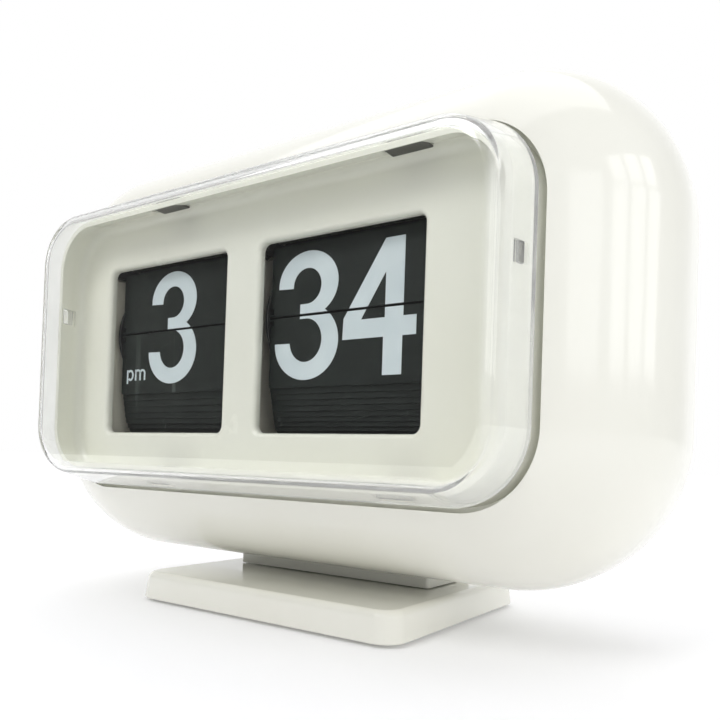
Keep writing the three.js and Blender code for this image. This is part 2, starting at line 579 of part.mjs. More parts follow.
function windowHole(centreX) {
  const sections = [{ grow: 0, y: PANEL_BACK_Y + PANEL_THICKNESS }];
  for (let i = EDGE_STEPS; i >= 0; i -= 1) {
    const angle = (Math.PI / 2) * (i / EDGE_STEPS);
    const grow = WINDOW_EASE * (1 - Math.sin(angle));
    sections.push({ grow, y: PANEL_Y + WINDOW_EASE * (1 - Math.cos(angle)) });
  }
  sections.push({ grow: WINDOW_EASE, y: PANEL_Y - 1 });
  const stack = sections.map(({ grow, y }) => ({
    at: -y,
    halfWidth: WINDOW_WIDTH / 2 + grow,
    halfHeight: WINDOW_HEIGHT / 2 + grow,
    radius: WINDOW_CORNER + grow,
  }));
  return loft(stack, facingFront(centreX, WINDOW_CENTRE_Z), 3);
}

function addDial() {
  const fit = -COVER_WALL - CLEARANCE;
  const backY = FLANGE_BACK_Y;
  const wall = flaredPrism(fit, RIM_Y, backY);
  const flange = flaredPrism(fit + FLANGE_WIDTH, backY - FLANGE_THICKNESS, backY)
    .intersect(pillow(-BODY_WALL - CLEARANCE));
  const tray = flaredPrism(fit - TRAY_WALL, RIM_Y - 1, PANEL_Y, 0, TRAY_FILLET);
  const behind = flaredPrism(fit - TRAY_WALL, PANEL_BACK_Y, backY + 1);
  const slots = clipBlocks(fit + CLEARANCE, fit - 2 * TRAY_WALL, CLEARANCE);
  const holes = [windowHole(HOUR_X), windowHole(MINUTE_X)];
  add("dial_tray", cut(join(wall, flange), tray, behind, slots, ...holes), TRAY_CREAM());
}

// ---------------------------------------------------------------- stand

const standScrewPlaces = [-1, 1].map((side) => ({
  x: side * STAND_SCREW_X,
  y: (NECK_FRONT_Y + NECK_BACK_Y) / 2,
  name: `stand_screw_${side > 0 ? "right" : "left"}`,
}));

function addStand() {
  const midY = (STAND_FRONT_Y + STAND_BACK_Y) / 2;
  const section = (z, inset) => ({
    at: z,
    halfWidth: STAND_WIDTH / 2 - inset,
    halfHeight: (STAND_BACK_Y - STAND_FRONT_Y) / 2 - inset,
    radius: STAND_CORNER,
  });
  const sections = [section(FOOT_HEIGHT, 0)];
  for (let i = 0; i <= EDGE_STEPS; i += 1) {
    const angle = (Math.PI / 2) * (i / EDGE_STEPS);
    const inset = STAND_DRAFT + STAND_EDGE * (1 - Math.cos(angle));
    sections.push(section(STAND_TOP_Z - STAND_EDGE * (1 - Math.sin(angle)), inset));
  }
  let plate = loft(sections, facingUp(0, midY), 4);
  let neck = box(
    -NECK_WIDTH / 2, NECK_WIDTH / 2, NECK_FRONT_Y, NECK_BACK_Y, STAND_TOP_Z + CLEARANCE, BODY_CENTRE_Z,
  );
  neck = cut(neck, pillow(CLEARANCE));

  for (const side of [-1, 1]) {
    for (const end of [-1, 1]) {
      const x = side * (STAND_WIDTH / 2 - FOOT_INSET);
      const y = midY + end * ((STAND_BACK_Y - STAND_FRONT_Y) / 2 - FOOT_INSET);
      const seatTop = FOOT_HEIGHT + FOOT_SINK;
      plate = cut(plate, rodZ(0, seatTop, x, y, FOOT_RADIUS + CLEARANCE));
      const name = `foot_${end < 0 ? "front" : "back"}_${side > 0 ? "right" : "left"}`;
      add(name, rodZ(0, seatTop - CLEARANCE, x, y, FOOT_RADIUS), RUBBER());
    }
  }
  for (const { x, y, name } of standScrewPlaces) {
    const bore = rodZ(0, BODY_CENTRE_Z, x, y, SCREW_RADIUS + CLEARANCE, BORE_SIDES);
    plate = cut(plate, bore, rodZ(0, HEAD_SEAT_Z, x, y, SCREW_HEAD_RADIUS + CLEARANCE));
    neck = cut(neck, bore);
    const headTop = HEAD_SEAT_Z - CLEARANCE;
    const head = rodZ(headTop - SCREW_HEAD, headTop, x, y, SCREW_HEAD_RADIUS);
    const shank = rodZ(headTop - SCREW_HEAD / 2, STAND_SCREW_TOP_Z, x, y, SCREW_RADIUS, BORE_SIDES);
    add(name, join(head, shank), STEEL());
  }
  add("stand_plate", plate, CREAM());
  add("stand_neck", neck, CREAM());
}

// ---------------------------------------------------------------- flaps

// Fan of resting flaps as one stepped solid; angles in degrees, 0 at the front pin, positive upwards.
function fan(centreX, fromAngle, toAngle, tipOf) {
  const root = PIN_CIRCLE - FLAP_THICKNESS;
  const tips = [];
  const roots = [];
  for (let i = 0; i <= FLAP_STEPS; i += 1) {
    const angle = THREE.MathUtils.degToRad(fromAngle + ((toAngle - fromAngle) * i) / FLAP_STEPS);
    tips.push(tipOf(angle));
    roots.unshift([-root * Math.cos(angle), root * Math.sin(angle)]);
  }
  const outline = [];
  tips.forEach(([y, z], i) => {
    outline.push([y, z]);
    const next = tips[i + 1];
    if (next) {
      const stepY = y + (next[0] - y) * FAN_STEP_SHARE - (DRUM_STEP * y) / PIN_CIRCLE;
      const stepZ = z + (next[1] - z) * FAN_STEP_SHARE - (DRUM_STEP * z) / PIN_CIRCLE;
      outline.push([stepY, stepZ]);
    }
  });
  const placed = [...outline, ...roots].map(([y, z]) => [DRUM_Y + y, DRUM_Z + z]);
  return slabX(polygon(placed), centreX - FLAP_WIDTH / 2, centreX + FLAP_WIDTH / 2);
}

const standingTip = (angle) => [
  -PIN_CIRCLE * Math.cos(angle) + FLAP_HEIGHT * Math.sin(angle),
  PIN_CIRCLE * Math.sin(angle) + FLAP_HEIGHT * Math.cos(angle),
];
const hangingTip = (angle) => [
  -PIN_CIRCLE * (Math.cos(angle) + FLAP_LEAN * (1 - Math.cos(angle))),
  PIN_CIRCLE * Math.sin(angle) - FLAP_HEIGHT,
];

function addFlaps(label, centreX, stopPlateX) {
  const [x0, x1] = [centreX - FLAP_WIDTH / 2, centreX + FLAP_WIDTH / 2];
  const [y0, y1] = [FLAP_PLANE_Y - FLAP_THICKNESS / 2, FLAP_PLANE_Y + FLAP_THICKNESS / 2];
  const upperZ = SPLIT_Z + CLEARANCE;
  add(`${label}_upper_flap`, box(x0, x1, y0, y1, upperZ, upperZ + FLAP_HEIGHT), FLAP_BLACK());
  const lowerZ = SPLIT_Z - CLEARANCE;
  add(`${label}_lower_flap`, box(x0, x1, y0, y1, lowerZ - FLAP_HEIGHT, lowerZ), FLAP_BLACK());
  add(`${label}_waiting_flaps`, fan(centreX, ...WAITING_ANGLES, standingTip), FLAP_BLACK());
  add(`${label}_fallen_flaps`, fan(centreX, ...FALLEN_ANGLES, hangingTip), FLAP_BLACK());

  const stopX = x0 - CLEARANCE;
  const [tipZ, topZ] = [FLAP_TOP_Z, FLAP_TOP_Z + STOP_HEIGHT];
  const hook = box(stopX - STOP_WIDTH, stopX, y0 - STOP_REACH, y0 + STOP_REACH, tipZ - STOP_OVERLAP, topZ);
  const arm = box(stopPlateX + CLEARANCE, stopX, y0, y0 + STOP_ARM_LENGTH, tipZ, topZ);
  add(`${label}_flap_stop`, join(hook, arm), DARK_PLASTIC());
}

// ---------------------------------------------------------------- movement

function addDrum(label, centreX, hubBore) {
  const half = FLAP_WIDTH / 2 + RUNNING_GAP;
  const hubHalf = half - CLEARANCE;
  const hub = rodX(centreX - hubHalf, centreX + hubHalf, DRUM_Y, DRUM_Z, HUB_RADIUS);
  const bore = rodX(-BODY_WIDTH, BODY_WIDTH, DRUM_Y, DRUM_Z, hubBore, BORE_SIDES);
  add(`${label}_drum_hub`, cut(hub, bore), DARK_PLASTIC());
  for (const [side, name] of [[-1, "left"], [1, "right"]]) {
    const inner = centreX + side * half;
    const [x0, x1] = [inner, inner + side * DISC_THICKNESS].toSorted((a, b) => a - b);
    const disc = rodX(x0, x1, DRUM_Y, DRUM_Z, DISC_RADIUS, 2 * ROUND_SIDES);
    add(`${label}_drum_${name}_disc`, cut(disc, bore), DARK_PLASTIC());
  }
}

function addGears() {
  const bore = SHAFT_RADIUS + BORE_GAP;
  const hourRight = HOUR_WHEEL_X + GEAR_THICKNESS;
  const wheelRight = ARBOR_WHEEL_X + GEAR_THICKNESS;
  const minuteRight = MINUTE_WHEEL_X + GEAR_THICKNESS;
  const wheelTurn = meshTurn(MINUTE_PINION_TEETH, 0, 0, ARBOR_WHEEL_TEETH);
  const pinionTurn = meshTurn(HOUR_WHEEL_TEETH, 0, 0, ARBOR_PINION_TEETH);
  const idlerTurn = meshTurn(MINUTE_WHEEL_TEETH, 0, 0, IDLER_TEETH);
  const settingTurn = meshTurn(IDLER_TEETH, idlerTurn, 0, SETTING_TEETH);
  const motorDirection = THREE.MathUtils.degToRad(MOTOR_ANGLE);
  const motorTurn = meshTurn(MINUTE_WHEEL_TEETH, 0, motorDirection, MOTOR_PINION_TEETH);
  const hourSpan = [HOUR_WHEEL_X, hourRight];
  const reductionSpan = [ARBOR_WHEEL_X, wheelRight];
  const trainSpan = [MINUTE_WHEEL_X, minuteRight];

  const hourWheel = gear(HOUR_WHEEL_TEETH, HOUR_MODULE, ...hourSpan, DRUM_Y, DRUM_Z, 0, bore);
  const minutePinion = gear(MINUTE_PINION_TEETH, REDUCTION_MODULE, ...reductionSpan, DRUM_Y, DRUM_Z, 0, bore);
  const minuteWheel = gear(MINUTE_WHEEL_TEETH, TRAIN_MODULE, ...trainSpan, DRUM_Y, DRUM_Z, 0, bore);
  add("hour_wheel", hourWheel, GEAR_WHITE());
  add("minute_pinion", minutePinion, BRASS());
  add("minute_wheel", minuteWheel, GEAR_WHITE());

  const wheel = gear(ARBOR_WHEEL_TEETH, REDUCTION_MODULE, ...reductionSpan, ARBOR_Y, DRUM_Z, wheelTurn);
  const pinion = gear(ARBOR_PINION_TEETH, HOUR_MODULE, ...hourSpan, ARBOR_Y, DRUM_Z, pinionTurn);
  const spindle = rodX(HOUR_WHEEL_X, wheelRight, ARBOR_Y, DRUM_Z, SPINDLE_RADIUS, BORE_SIDES);
  add("transfer_arbor", join(wheel, pinion, spindle), GEAR_WHITE());

  const idler = gear(IDLER_TEETH, TRAIN_MODULE, ...trainSpan, IDLER_Y, DRUM_Z, idlerTurn);
  const stud = rodX(MINUTE_WHEEL_X, PLATES_END_X, IDLER_Y, DRUM_Z, SPINDLE_RADIUS, BORE_SIDES);
  add("setting_idler", join(idler, stud), GEAR_WHITE());

  const settingGear = gear(SETTING_TEETH, TRAIN_MODULE, ...trainSpan, SETTING_Y, DRUM_Z, settingTurn);
  const axle = rodX(MINUTE_WHEEL_X, SETTING_WHEEL_X, SETTING_Y, DRUM_Z, SPINDLE_RADIUS, BORE_SIDES);
  const half = SETTING_WHEEL_THICKNESS / 2;
  const knurl = gear(
    SETTING_RIDGES, (2 * SETTING_RADIUS) / (SETTING_RIDGES + 2 * TOOTH_TIP),
    SETTING_WHEEL_X - half, SETTING_WHEEL_X + half, SETTING_Y, DRUM_Z,
  );
  add("time_setting_wheel", join(settingGear, axle, knurl), GEAR_WHITE());

  const motorGear = gear(MOTOR_PINION_TEETH, TRAIN_MODULE, ...trainSpan, MOTOR_Y, MOTOR_Z, motorTurn);
  const motorX = PLATES_END_X + CLEARANCE;
  const motorShaft = rodX(MINUTE_WHEEL_X, PLATES_END_X, MOTOR_Y, MOTOR_Z, SPINDLE_RADIUS, BORE_SIDES);
  add("motor_pinion", join(motorGear, motorShaft), BRASS());
  const can = rodX(motorX, motorX + MOTOR_LENGTH, MOTOR_Y, MOTOR_Z, MOTOR_RADIUS, 2 * ROUND_SIDES);
  add("motor", can, DARK_PLASTIC());
  const boardX = motorX + MOTOR_LENGTH + CLEARANCE;
  const board = box(
    boardX, boardX + BOARD_THICKNESS, MOTOR_Y - BOARD_DEPTH / 2, MOTOR_Y + BOARD_DEPTH / 2,
    MOTOR_Z - BOARD_HEIGHT / 2, MOTOR_Z + BOARD_HEIGHT / 2,
  );
  add("circuit_board", board, BOARD_GREEN());
  const [shaftStart, shaftEnd] = [LEFT_PLATE_X - PLATE_END, PLATES_END_X + PLATE_END];
  add("drum_shaft", rodX(shaftStart, shaftEnd, DRUM_Y, DRUM_Z, SHAFT_RADIUS, BORE_SIDES), STEEL());
}

function addFrame() {
  const through = (x, y, z, radius) => rodX(x - 1, x + PLATE_THICKNESS + 1, y, z, radius, BORE_SIDES);
  const holes = (x) => [
    through(x, DRUM_Y, DRUM_Z, SHAFT_RADIUS + BORE_GAP),
    ...rodPlaces.map(({ y, z }) => through(x, y, z, ROD_RADIUS + CLEARANCE)),
  ];
  const arm = [
    [PLATE_BACK_Y, DRUM_Z - ARM_HALF_HEIGHT], [SETTING_Y + ARM_END, DRUM_Z - ARM_HALF_HEIGHT],
    [SETTING_Y + ARM_END, DRUM_Z + ARM_HALF_HEIGHT], [PLATE_BACK_Y, DRUM_Z + ARM_HALF_HEIGHT],
  ];
  const stepY = PLATE_FRONT_Y + PLATE_STEP_LENGTH;
  const outline = (extra) => polygon([
    [PLATE_FRONT_Y, PLATE_BOTTOM_Z], [LEG_Y, PLATE_BOTTOM_Z], [LEG_Y, LEG_BOTTOM_Z], [NOTCH_Y, LEG_BOTTOM_Z],
    [NOTCH_Y, NOTCH_Z], [PLATE_BACK_Y, NOTCH_Z], ...extra,
    [PLATE_BACK_Y, PLATE_TOP_Z], [stepY + PLATE_SLOPE_LENGTH, PLATE_TOP_Z],
    [stepY, PLATE_STEP_Z], [PLATE_FRONT_Y, PLATE_STEP_Z],
  ]);
  const trainAxes = [[IDLER_Y, DRUM_Z], [SETTING_Y, DRUM_Z], [MOTOR_Y, MOTOR_Z]];
  const plates = [
    { name: "left_frame_plate", x: LEFT_PLATE_X, extra: [], axes: [] },
    { name: "middle_frame_plate", x: MIDDLE_PLATE_X, extra: [], axes: [[ARBOR_Y, DRUM_Z]] },
    { name: "right_frame_plate", x: RIGHT_PLATE_X, extra: arm, axes: trainAxes },
  ];
  for (const { name, x, extra, axes } of plates) {
    const plate = slabX(outline(extra), x, x + PLATE_THICKNESS);
    const bores = axes.map(([y, z]) => through(x, y, z, SPINDLE_RADIUS + BORE_GAP));
    add(name, cut(plate, ...holes(x), ...bores), NYLON());
  }
  for (const { y, z, name } of rodPlaces) {
    const rod = rodX(LEFT_PLATE_X - PLATE_END, PLATES_END_X + PLATE_END, y, z, ROD_RADIUS, BORE_SIDES);
    add(name, rod, STEEL());
  }
}

// ---------------------------------------------------------------- battery

class ConeSpring extends THREE.Curve {
  constructor(x0, x1) {
    super();
    Object.assign(this, { x0, x1 });
  }

  getPoint(t, target = new THREE.Vector3()) {
    const radius = SPRING_RADIUS + (SPRING_TIP_RADIUS - SPRING_RADIUS) * t;
    const angle = 2 * Math.PI * SPRING_TURNS * t;
    return target.set(
      this.x0 + (this.x1 - this.x0) * t,
      BATTERY_Y + radius * Math.cos(angle),
      BATTERY_Z + radius * Math.sin(angle),
    );
  }
}

function addBattery() {
  const [x0, x1] = [BATTERY_X - BATTERY_LENGTH / 2, BATTERY_X + BATTERY_LENGTH / 2];
  const can = rodX(x0, x1, BATTERY_Y, BATTERY_Z, BATTERY_RADIUS, 2 * ROUND_SIDES);
  const nub = rodX(x0 - BATTERY_NUB_LENGTH, x0, BATTERY_Y, BATTERY_Z, BATTERY_NUB_RADIUS);
  add("battery_cell", join(can, nub), JACKET());

  const [from, to] = [TROUGH_FROM, TROUGH_TO].map(THREE.MathUtils.degToRad);
  const arc = new THREE.Shape();
  arc.absarc(BATTERY_Y, BATTERY_Z, TROUGH_OUTER_RADIUS, from, to, false);
  arc.absarc(BATTERY_Y, BATTERY_Z, TROUGH_RADIUS, to, from, true);
  const leftWallX = x0 - BATTERY_NUB_LENGTH - NUB_SPACE - TROUGH_WALL;
  const rightWallX = x1 + CONTACT_SPACE + CONTACT_THICKNESS + CLEARANCE;
  const troughEndX = rightWallX + TROUGH_WALL;
  const shell = slabX(arc, leftWallX, troughEndX, ROUND_SIDES);
  const below = box(leftWallX, troughEndX, -BODY_DEPTH, BODY_DEPTH, 0, BATTERY_Z + TROUGH_RIM);
  const endRadius = (TROUGH_RADIUS + TROUGH_OUTER_RADIUS) / 2;
  const ends = [leftWallX, rightWallX].map((x) =>
    rodX(x, x + TROUGH_WALL, BATTERY_Y, BATTERY_Z, endRadius, 2 * ROUND_SIDES).intersect(below));
  add("battery_trough", join(shell, ...ends), NYLON());

  const plateX = leftWallX + TROUGH_WALL + CLEARANCE;
  const contact = box(
    plateX, plateX + CONTACT_THICKNESS, BATTERY_Y - CONTACT_DEPTH / 2, BATTERY_Y + CONTACT_DEPTH / 2,
    BATTERY_Z - CONTACT_HEIGHT / 2, BATTERY_Z + CONTACT_HEIGHT / 2,
  );
  add("positive_contact", contact, STEEL());
  const wire = new THREE.Shape();
  wire.absarc(0, 0, SPRING_WIRE, 0, 2 * Math.PI);
  const spring = new THREE.ExtrudeGeometry(wire, {
    extrudePath: new ConeSpring(rightWallX - CLEARANCE - SPRING_WIRE, x1 + CLEARANCE + SPRING_WIRE),
    steps: SPRING_STEPS,
    curveSegments: 2,
    bevelEnabled: false,
  });
  add("negative_contact_spring", solid(spring), STEEL());
}

// ---------------------------------------------------------------- assembly

addHousings();
addCover();
addDial();
addStand();
addFrame();
addDrum("hour", HOUR_X, SHAFT_RADIUS + BORE_GAP);
addDrum("minute", MINUTE_X, SHAFT_RADIUS + BORE_GAP);
addFlaps("hour", HOUR_X, LEFT_PLATE_X + PLATE_THICKNESS);
addFlaps("minute", MINUTE_X, MIDDLE_PLATE_X + PLATE_THICKNESS);
addGears();
addBattery();

export default clock;
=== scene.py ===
import math

import bmesh
import bpy
from mathutils import Matrix, Vector


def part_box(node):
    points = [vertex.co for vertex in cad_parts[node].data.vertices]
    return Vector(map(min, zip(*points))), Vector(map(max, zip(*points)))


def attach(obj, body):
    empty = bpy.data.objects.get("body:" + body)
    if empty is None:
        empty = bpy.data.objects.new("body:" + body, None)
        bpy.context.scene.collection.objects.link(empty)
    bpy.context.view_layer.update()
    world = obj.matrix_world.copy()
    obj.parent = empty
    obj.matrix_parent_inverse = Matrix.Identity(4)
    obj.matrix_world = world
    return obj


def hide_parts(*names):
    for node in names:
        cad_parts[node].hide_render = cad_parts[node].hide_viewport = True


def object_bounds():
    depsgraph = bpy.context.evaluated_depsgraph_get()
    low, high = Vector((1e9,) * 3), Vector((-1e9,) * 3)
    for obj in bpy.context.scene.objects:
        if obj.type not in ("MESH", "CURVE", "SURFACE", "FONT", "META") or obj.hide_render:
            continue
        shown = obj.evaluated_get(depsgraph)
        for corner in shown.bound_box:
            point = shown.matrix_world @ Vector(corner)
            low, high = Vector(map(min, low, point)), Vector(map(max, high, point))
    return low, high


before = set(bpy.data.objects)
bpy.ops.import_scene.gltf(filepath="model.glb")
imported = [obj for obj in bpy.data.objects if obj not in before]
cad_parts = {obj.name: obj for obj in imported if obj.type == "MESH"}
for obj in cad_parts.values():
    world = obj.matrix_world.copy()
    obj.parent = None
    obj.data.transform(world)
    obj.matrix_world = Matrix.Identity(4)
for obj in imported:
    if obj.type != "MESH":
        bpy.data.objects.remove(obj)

cad_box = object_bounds()

# Flip number clock: high-resolution shells, cover, dial, stand and flap cards around the packed
# movement. Shapes are worked out in millimetres and turned to metres when a mesh is made.
MM = 0.001
GAP = 0.3  # between neighbouring pieces


def node_box(name):
    """Lowest and highest corner of a CAD node, in millimetres."""
    low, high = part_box(name)
    return low / MM, high / MM


def mid(box):
    """Middle of a box: x, y and z."""
    return tuple((a + b) / 2 for a, b in zip(*box))


def half(box):
    """Half the size of a box along x, y and z."""
    return tuple((b - a) / 2 for a, b in zip(*box))


# ------------------------------------------------------------------ sizes read from the frame

FRONT_SHELL = node_box("front_housing")
REAR_SHELL = node_box("rear_housing")
COVER = node_box("clear_front_cover")
TRAY = node_box("dial_tray")
STAND = node_box("stand_plate")
NECK = node_box("stand_neck")
DOOR = node_box("battery_door")
SETTING = node_box("time_setting_wheel")

BODY_HALF_WIDTH = FRONT_SHELL[1].x
BODY_HALF_HEIGHT = half(FRONT_SHELL)[2]
BODY_CENTRE_Z = mid(FRONT_SHELL)[2]
BODY_FRONT_Y = -35.3
BODY_BACK_Y = REAR_SHELL[1].y
SEAM_Y = FRONT_SHELL[1].y + GAP / 2
BODY_CORNER = 40
BODY_ROLL = 37.7
BODY_WALL = 2.5

COVER_FRONT_Y = COVER[0].y
COVER_BACK_Y = COVER[1].y
COVER_FLARE = 5
COVER_CORNER = 14
COVER_WALL = 1.8
COVER_EDGE = 2.5
COVER_HALF_WIDTH = COVER[1].x - COVER_FLARE
COVER_HALF_HEIGHT = half(COVER)[2] - COVER_FLARE
COVER_CENTRE_Z = mid(COVER)[2]

RIM_Y = TRAY[0].y
FLANGE_BACK_Y = TRAY[1].y
TRAY_WALL = 1.6
TRAY_FILLET = 3.5
PANEL_Y = COVER_FRONT_Y + 16.5
PANEL_THICKNESS = 2.3
FLANGE_WIDTH = 3
FLANGE_THICKNESS = 1.6
WINDOW_HALF_WIDTH = 25.4
WINDOW_HALF_HEIGHT = 25.7
WINDOW_CORNER = 2.2
WINDOW_EASE = 1.4
WINDOW_DROP = 6.1  # window centre below the split between the flaps

CLIP_HALF = 4.4  # snap lugs between cover and tray
CLIP_SIDE_HALF = 2.2
CLIP_DEPTH = 3.4
CLIP_THICKNESS = 0.4
CLIP_Y = RIM_Y + 1.8
CLIP_SPARE = 1.1  # room around a lug in its slot
CLIP_XS = (-29, 50)
CLIP_SIDE_Z = 88
CLIP_FLARE = COVER_FLARE * (CLIP_Y - COVER_FRONT_Y) / (COVER_BACK_Y - COVER_FRONT_Y)

SIDES = ("hour", "minute")
FLAP = {side: (node_box(f"{side}_upper_flap"), node_box(f"{side}_lower_flap")) for side in SIDES}
CENTRE_X = {side: mid(FLAP[side][0])[0] for side in SIDES}
UPPER, LOWER = FLAP["hour"]
FLAP_HALF = half(UPPER)[0]
FLAP_HEIGHT = UPPER[1].z - UPPER[0].z
FLAP_FRONT_Y = UPPER[0].y
FLAP_BACK_Y = UPPER[1].y
FLAP_MIDDLE_Y = (FLAP_FRONT_Y + FLAP_BACK_Y) / 2
SPLIT_Z = (UPPER[0].z + LOWER[1].z) / 2
DRUM_Y = mid(node_box("minute_drum_left_disc"))[1]
PIN_CIRCLE = DRUM_Y - FLAP_MIDDLE_Y
CARDS = {"minute": 60, "hour": 48}  # pin places round each drum


# ------------------------------------------------------------------ mesh helpers

def placed(name, data):
    made = bpy.data.objects.new(name, data)
    bpy.context.scene.collection.objects.link(made)
    return made


def make(name, verts, faces, scale=MM):
    """A new object from points in millimetres."""
    mesh = bpy.data.meshes.new(name)
    mesh.from_pydata([Vector(v) * scale for v in verts], [], faces)
    mesh.update()
    return placed(name, mesh)


def stacked(name, verts, count):
    """Closed solid through layers of count points each, capped at both ends."""
    faces = []
    for a in range(len(verts) - count):
        b = a + 1 if (a + 1) % count else a + 1 - count
        faces.append((a, b, b + count, a + count))
    faces.append(tuple(range(count))[::-1])
    faces.append(tuple(range(len(verts) - count, len(verts))))
    piece = make(name, verts, faces)
    tidy_normals(piece)
    return piece


def ring(half_width, half_height, radius, steps):
    """Rounded rectangle, anticlockwise; every ring of the same steps has the same number of points."""
    radius = max(radius, 0.05)
    points = []
    for quarter, (side, level) in enumerate(((1, 1), (-1, 1), (-1, -1), (1, -1))):
        for i in range(steps + 1):
            angle = (quarter + i / steps) * math.pi / 2
            x = side * (half_width - radius) + radius * math.cos(angle)
            z = level * (half_height - radius) + radius * math.sin(angle)
            points.append((x, z))
    return points


def facing_front(centre_x, centre_z):
    return lambda a, b, along: (centre_x + a, along, centre_z + b)


def facing_up(centre_x, centre_y):
    return lambda a, b, along: (centre_x + a, centre_y + b, along)


def loft(name, sections, to_point, steps=16):
    """Closed solid through rounded rectangles (along, half_width, half_height, radius)."""
    verts = []
    for along, half_width, half_height, radius in sections:
        outline = ring(half_width, half_height, radius, steps)
        verts += [to_point(a, b, along) for a, b in outline]
    return stacked(name, verts, 4 * (steps + 1))


def tidy_normals(piece):
    """Merges doubled points and turns every face outwards."""
    work = bmesh.new()
    work.from_mesh(piece.data)
    bmesh.ops.remove_doubles(work, verts=work.verts, dist=1e-7)
    bmesh.ops.recalc_face_normals(work, faces=work.faces)
    work.to_mesh(piece.data)
    work.free()


def turned(name, profile, origin, axis, steps=64):
    """Solid of revolution through (along, radius) pairs, flat at both ends."""
    directions = {"x": ((1, 0, 0), (0, 1, 0), (0, 0, 1)),
                  "y": ((0, 1, 0), (0, 0, 1), (1, 0, 0)),
                  "z": ((0, 0, 1), (1, 0, 0), (0, 1, 0))}[axis]
    along, across, up = (Vector(d) for d in directions)
    verts = []
    for distance, radius in profile:
        for j in range(steps):
            angle = 2 * math.pi * j / steps
            spoke = across * math.cos(angle) + up * math.sin(angle)
            verts.append(Vector(origin) + along * distance + spoke * radius)
    return stacked(name, verts, steps)


def slab(name, low, high, edge=0.0):
    """Box between two corners, with rounded edges where edge is not zero."""
    verts = [(x, y, z) for x in (low[0], high[0]) for y in (low[1], high[1]) for z in (low[2], high[2])]
    faces = [(0, 1, 3, 2), (4, 6, 7, 5), (0, 4, 5, 1), (2, 3, 7, 6), (0, 2, 6, 4), (1, 5, 7, 3)]
    piece = make(name, verts, faces)
    tidy_normals(piece)
    if edge:
        soften(piece, edge)
    return piece


def settle(piece):
    """Turns a piece's modifiers into its mesh."""
    graph = bpy.context.evaluated_depsgraph_get()
    result = bpy.data.meshes.new_from_object(piece.evaluated_get(graph))
    piece.modifiers.clear()
    piece.data = result
    return piece


def soften(piece, width, segments=3, angle=35):
    """Rounds every edge that is sharper than the angle."""
    bevel = piece.modifiers.new("edges", "BEVEL")
    bevel.width = width * MM
    bevel.segments = segments
    bevel.limit_method = "ANGLE"
    bevel.angle_limit = math.radians(angle)
    bevel.harden_normals = False
    return settle(piece)


def combine(piece, tool, operation):
    """Joins, cuts or intersects with a tool, which is used up."""
    step = piece.modifiers.new("step", "BOOLEAN")
    step.operation = operation
    step.solver = "EXACT"
    step.object = tool
    settle(piece)
    bpy.data.objects.remove(tool)
    return piece


def cut(piece, *tools):
    for tool in tools:
        combine(piece, tool, "DIFFERENCE")
    return piece


def join(piece, *others):
    for other in others:
        combine(piece, other, "UNION")
    return piece


def gather(name, pieces):
    """One object out of several that don't touch."""
    work = bmesh.new()
    for piece in pieces:
        work.from_mesh(piece.data)
        bpy.data.objects.remove(piece)
    mesh = bpy.data.meshes.new(name)
    work.to_mesh(mesh)
    work.free()
    return placed(name, mesh)


def smooth(piece, angle=32):
    """Smooth shading with crisp edges and flat faces kept flat."""
    piece.data.shade_smooth()
    piece.data.set_sharp_from_angle(angle=math.radians(angle))
    weigh = piece.modifiers.new("normals", "WEIGHTED_NORMAL")
    weigh.keep_sharp = True
    return piece


def finish_piece(piece, material, body, nodes=(), angle=32):
    """Material, shading, body and the CAD nodes that the piece stands for."""
    piece.data.materials.clear()
    piece.data.materials.append(material)
    smooth(piece, angle)
    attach(piece, body)
    if nodes:
        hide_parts(*nodes)
    return piece


# ------------------------------------------------------------------ materials

def srgb(r, g, b):
    """Linear colour from 0-255 display values."""
    def linear(value):
        value /= 255
        return value / 12.92 if value <= 0.04045 else ((value + 0.055) / 1.055) ** 2.4
    return (linear(r), linear(g), linear(b), 1.0)


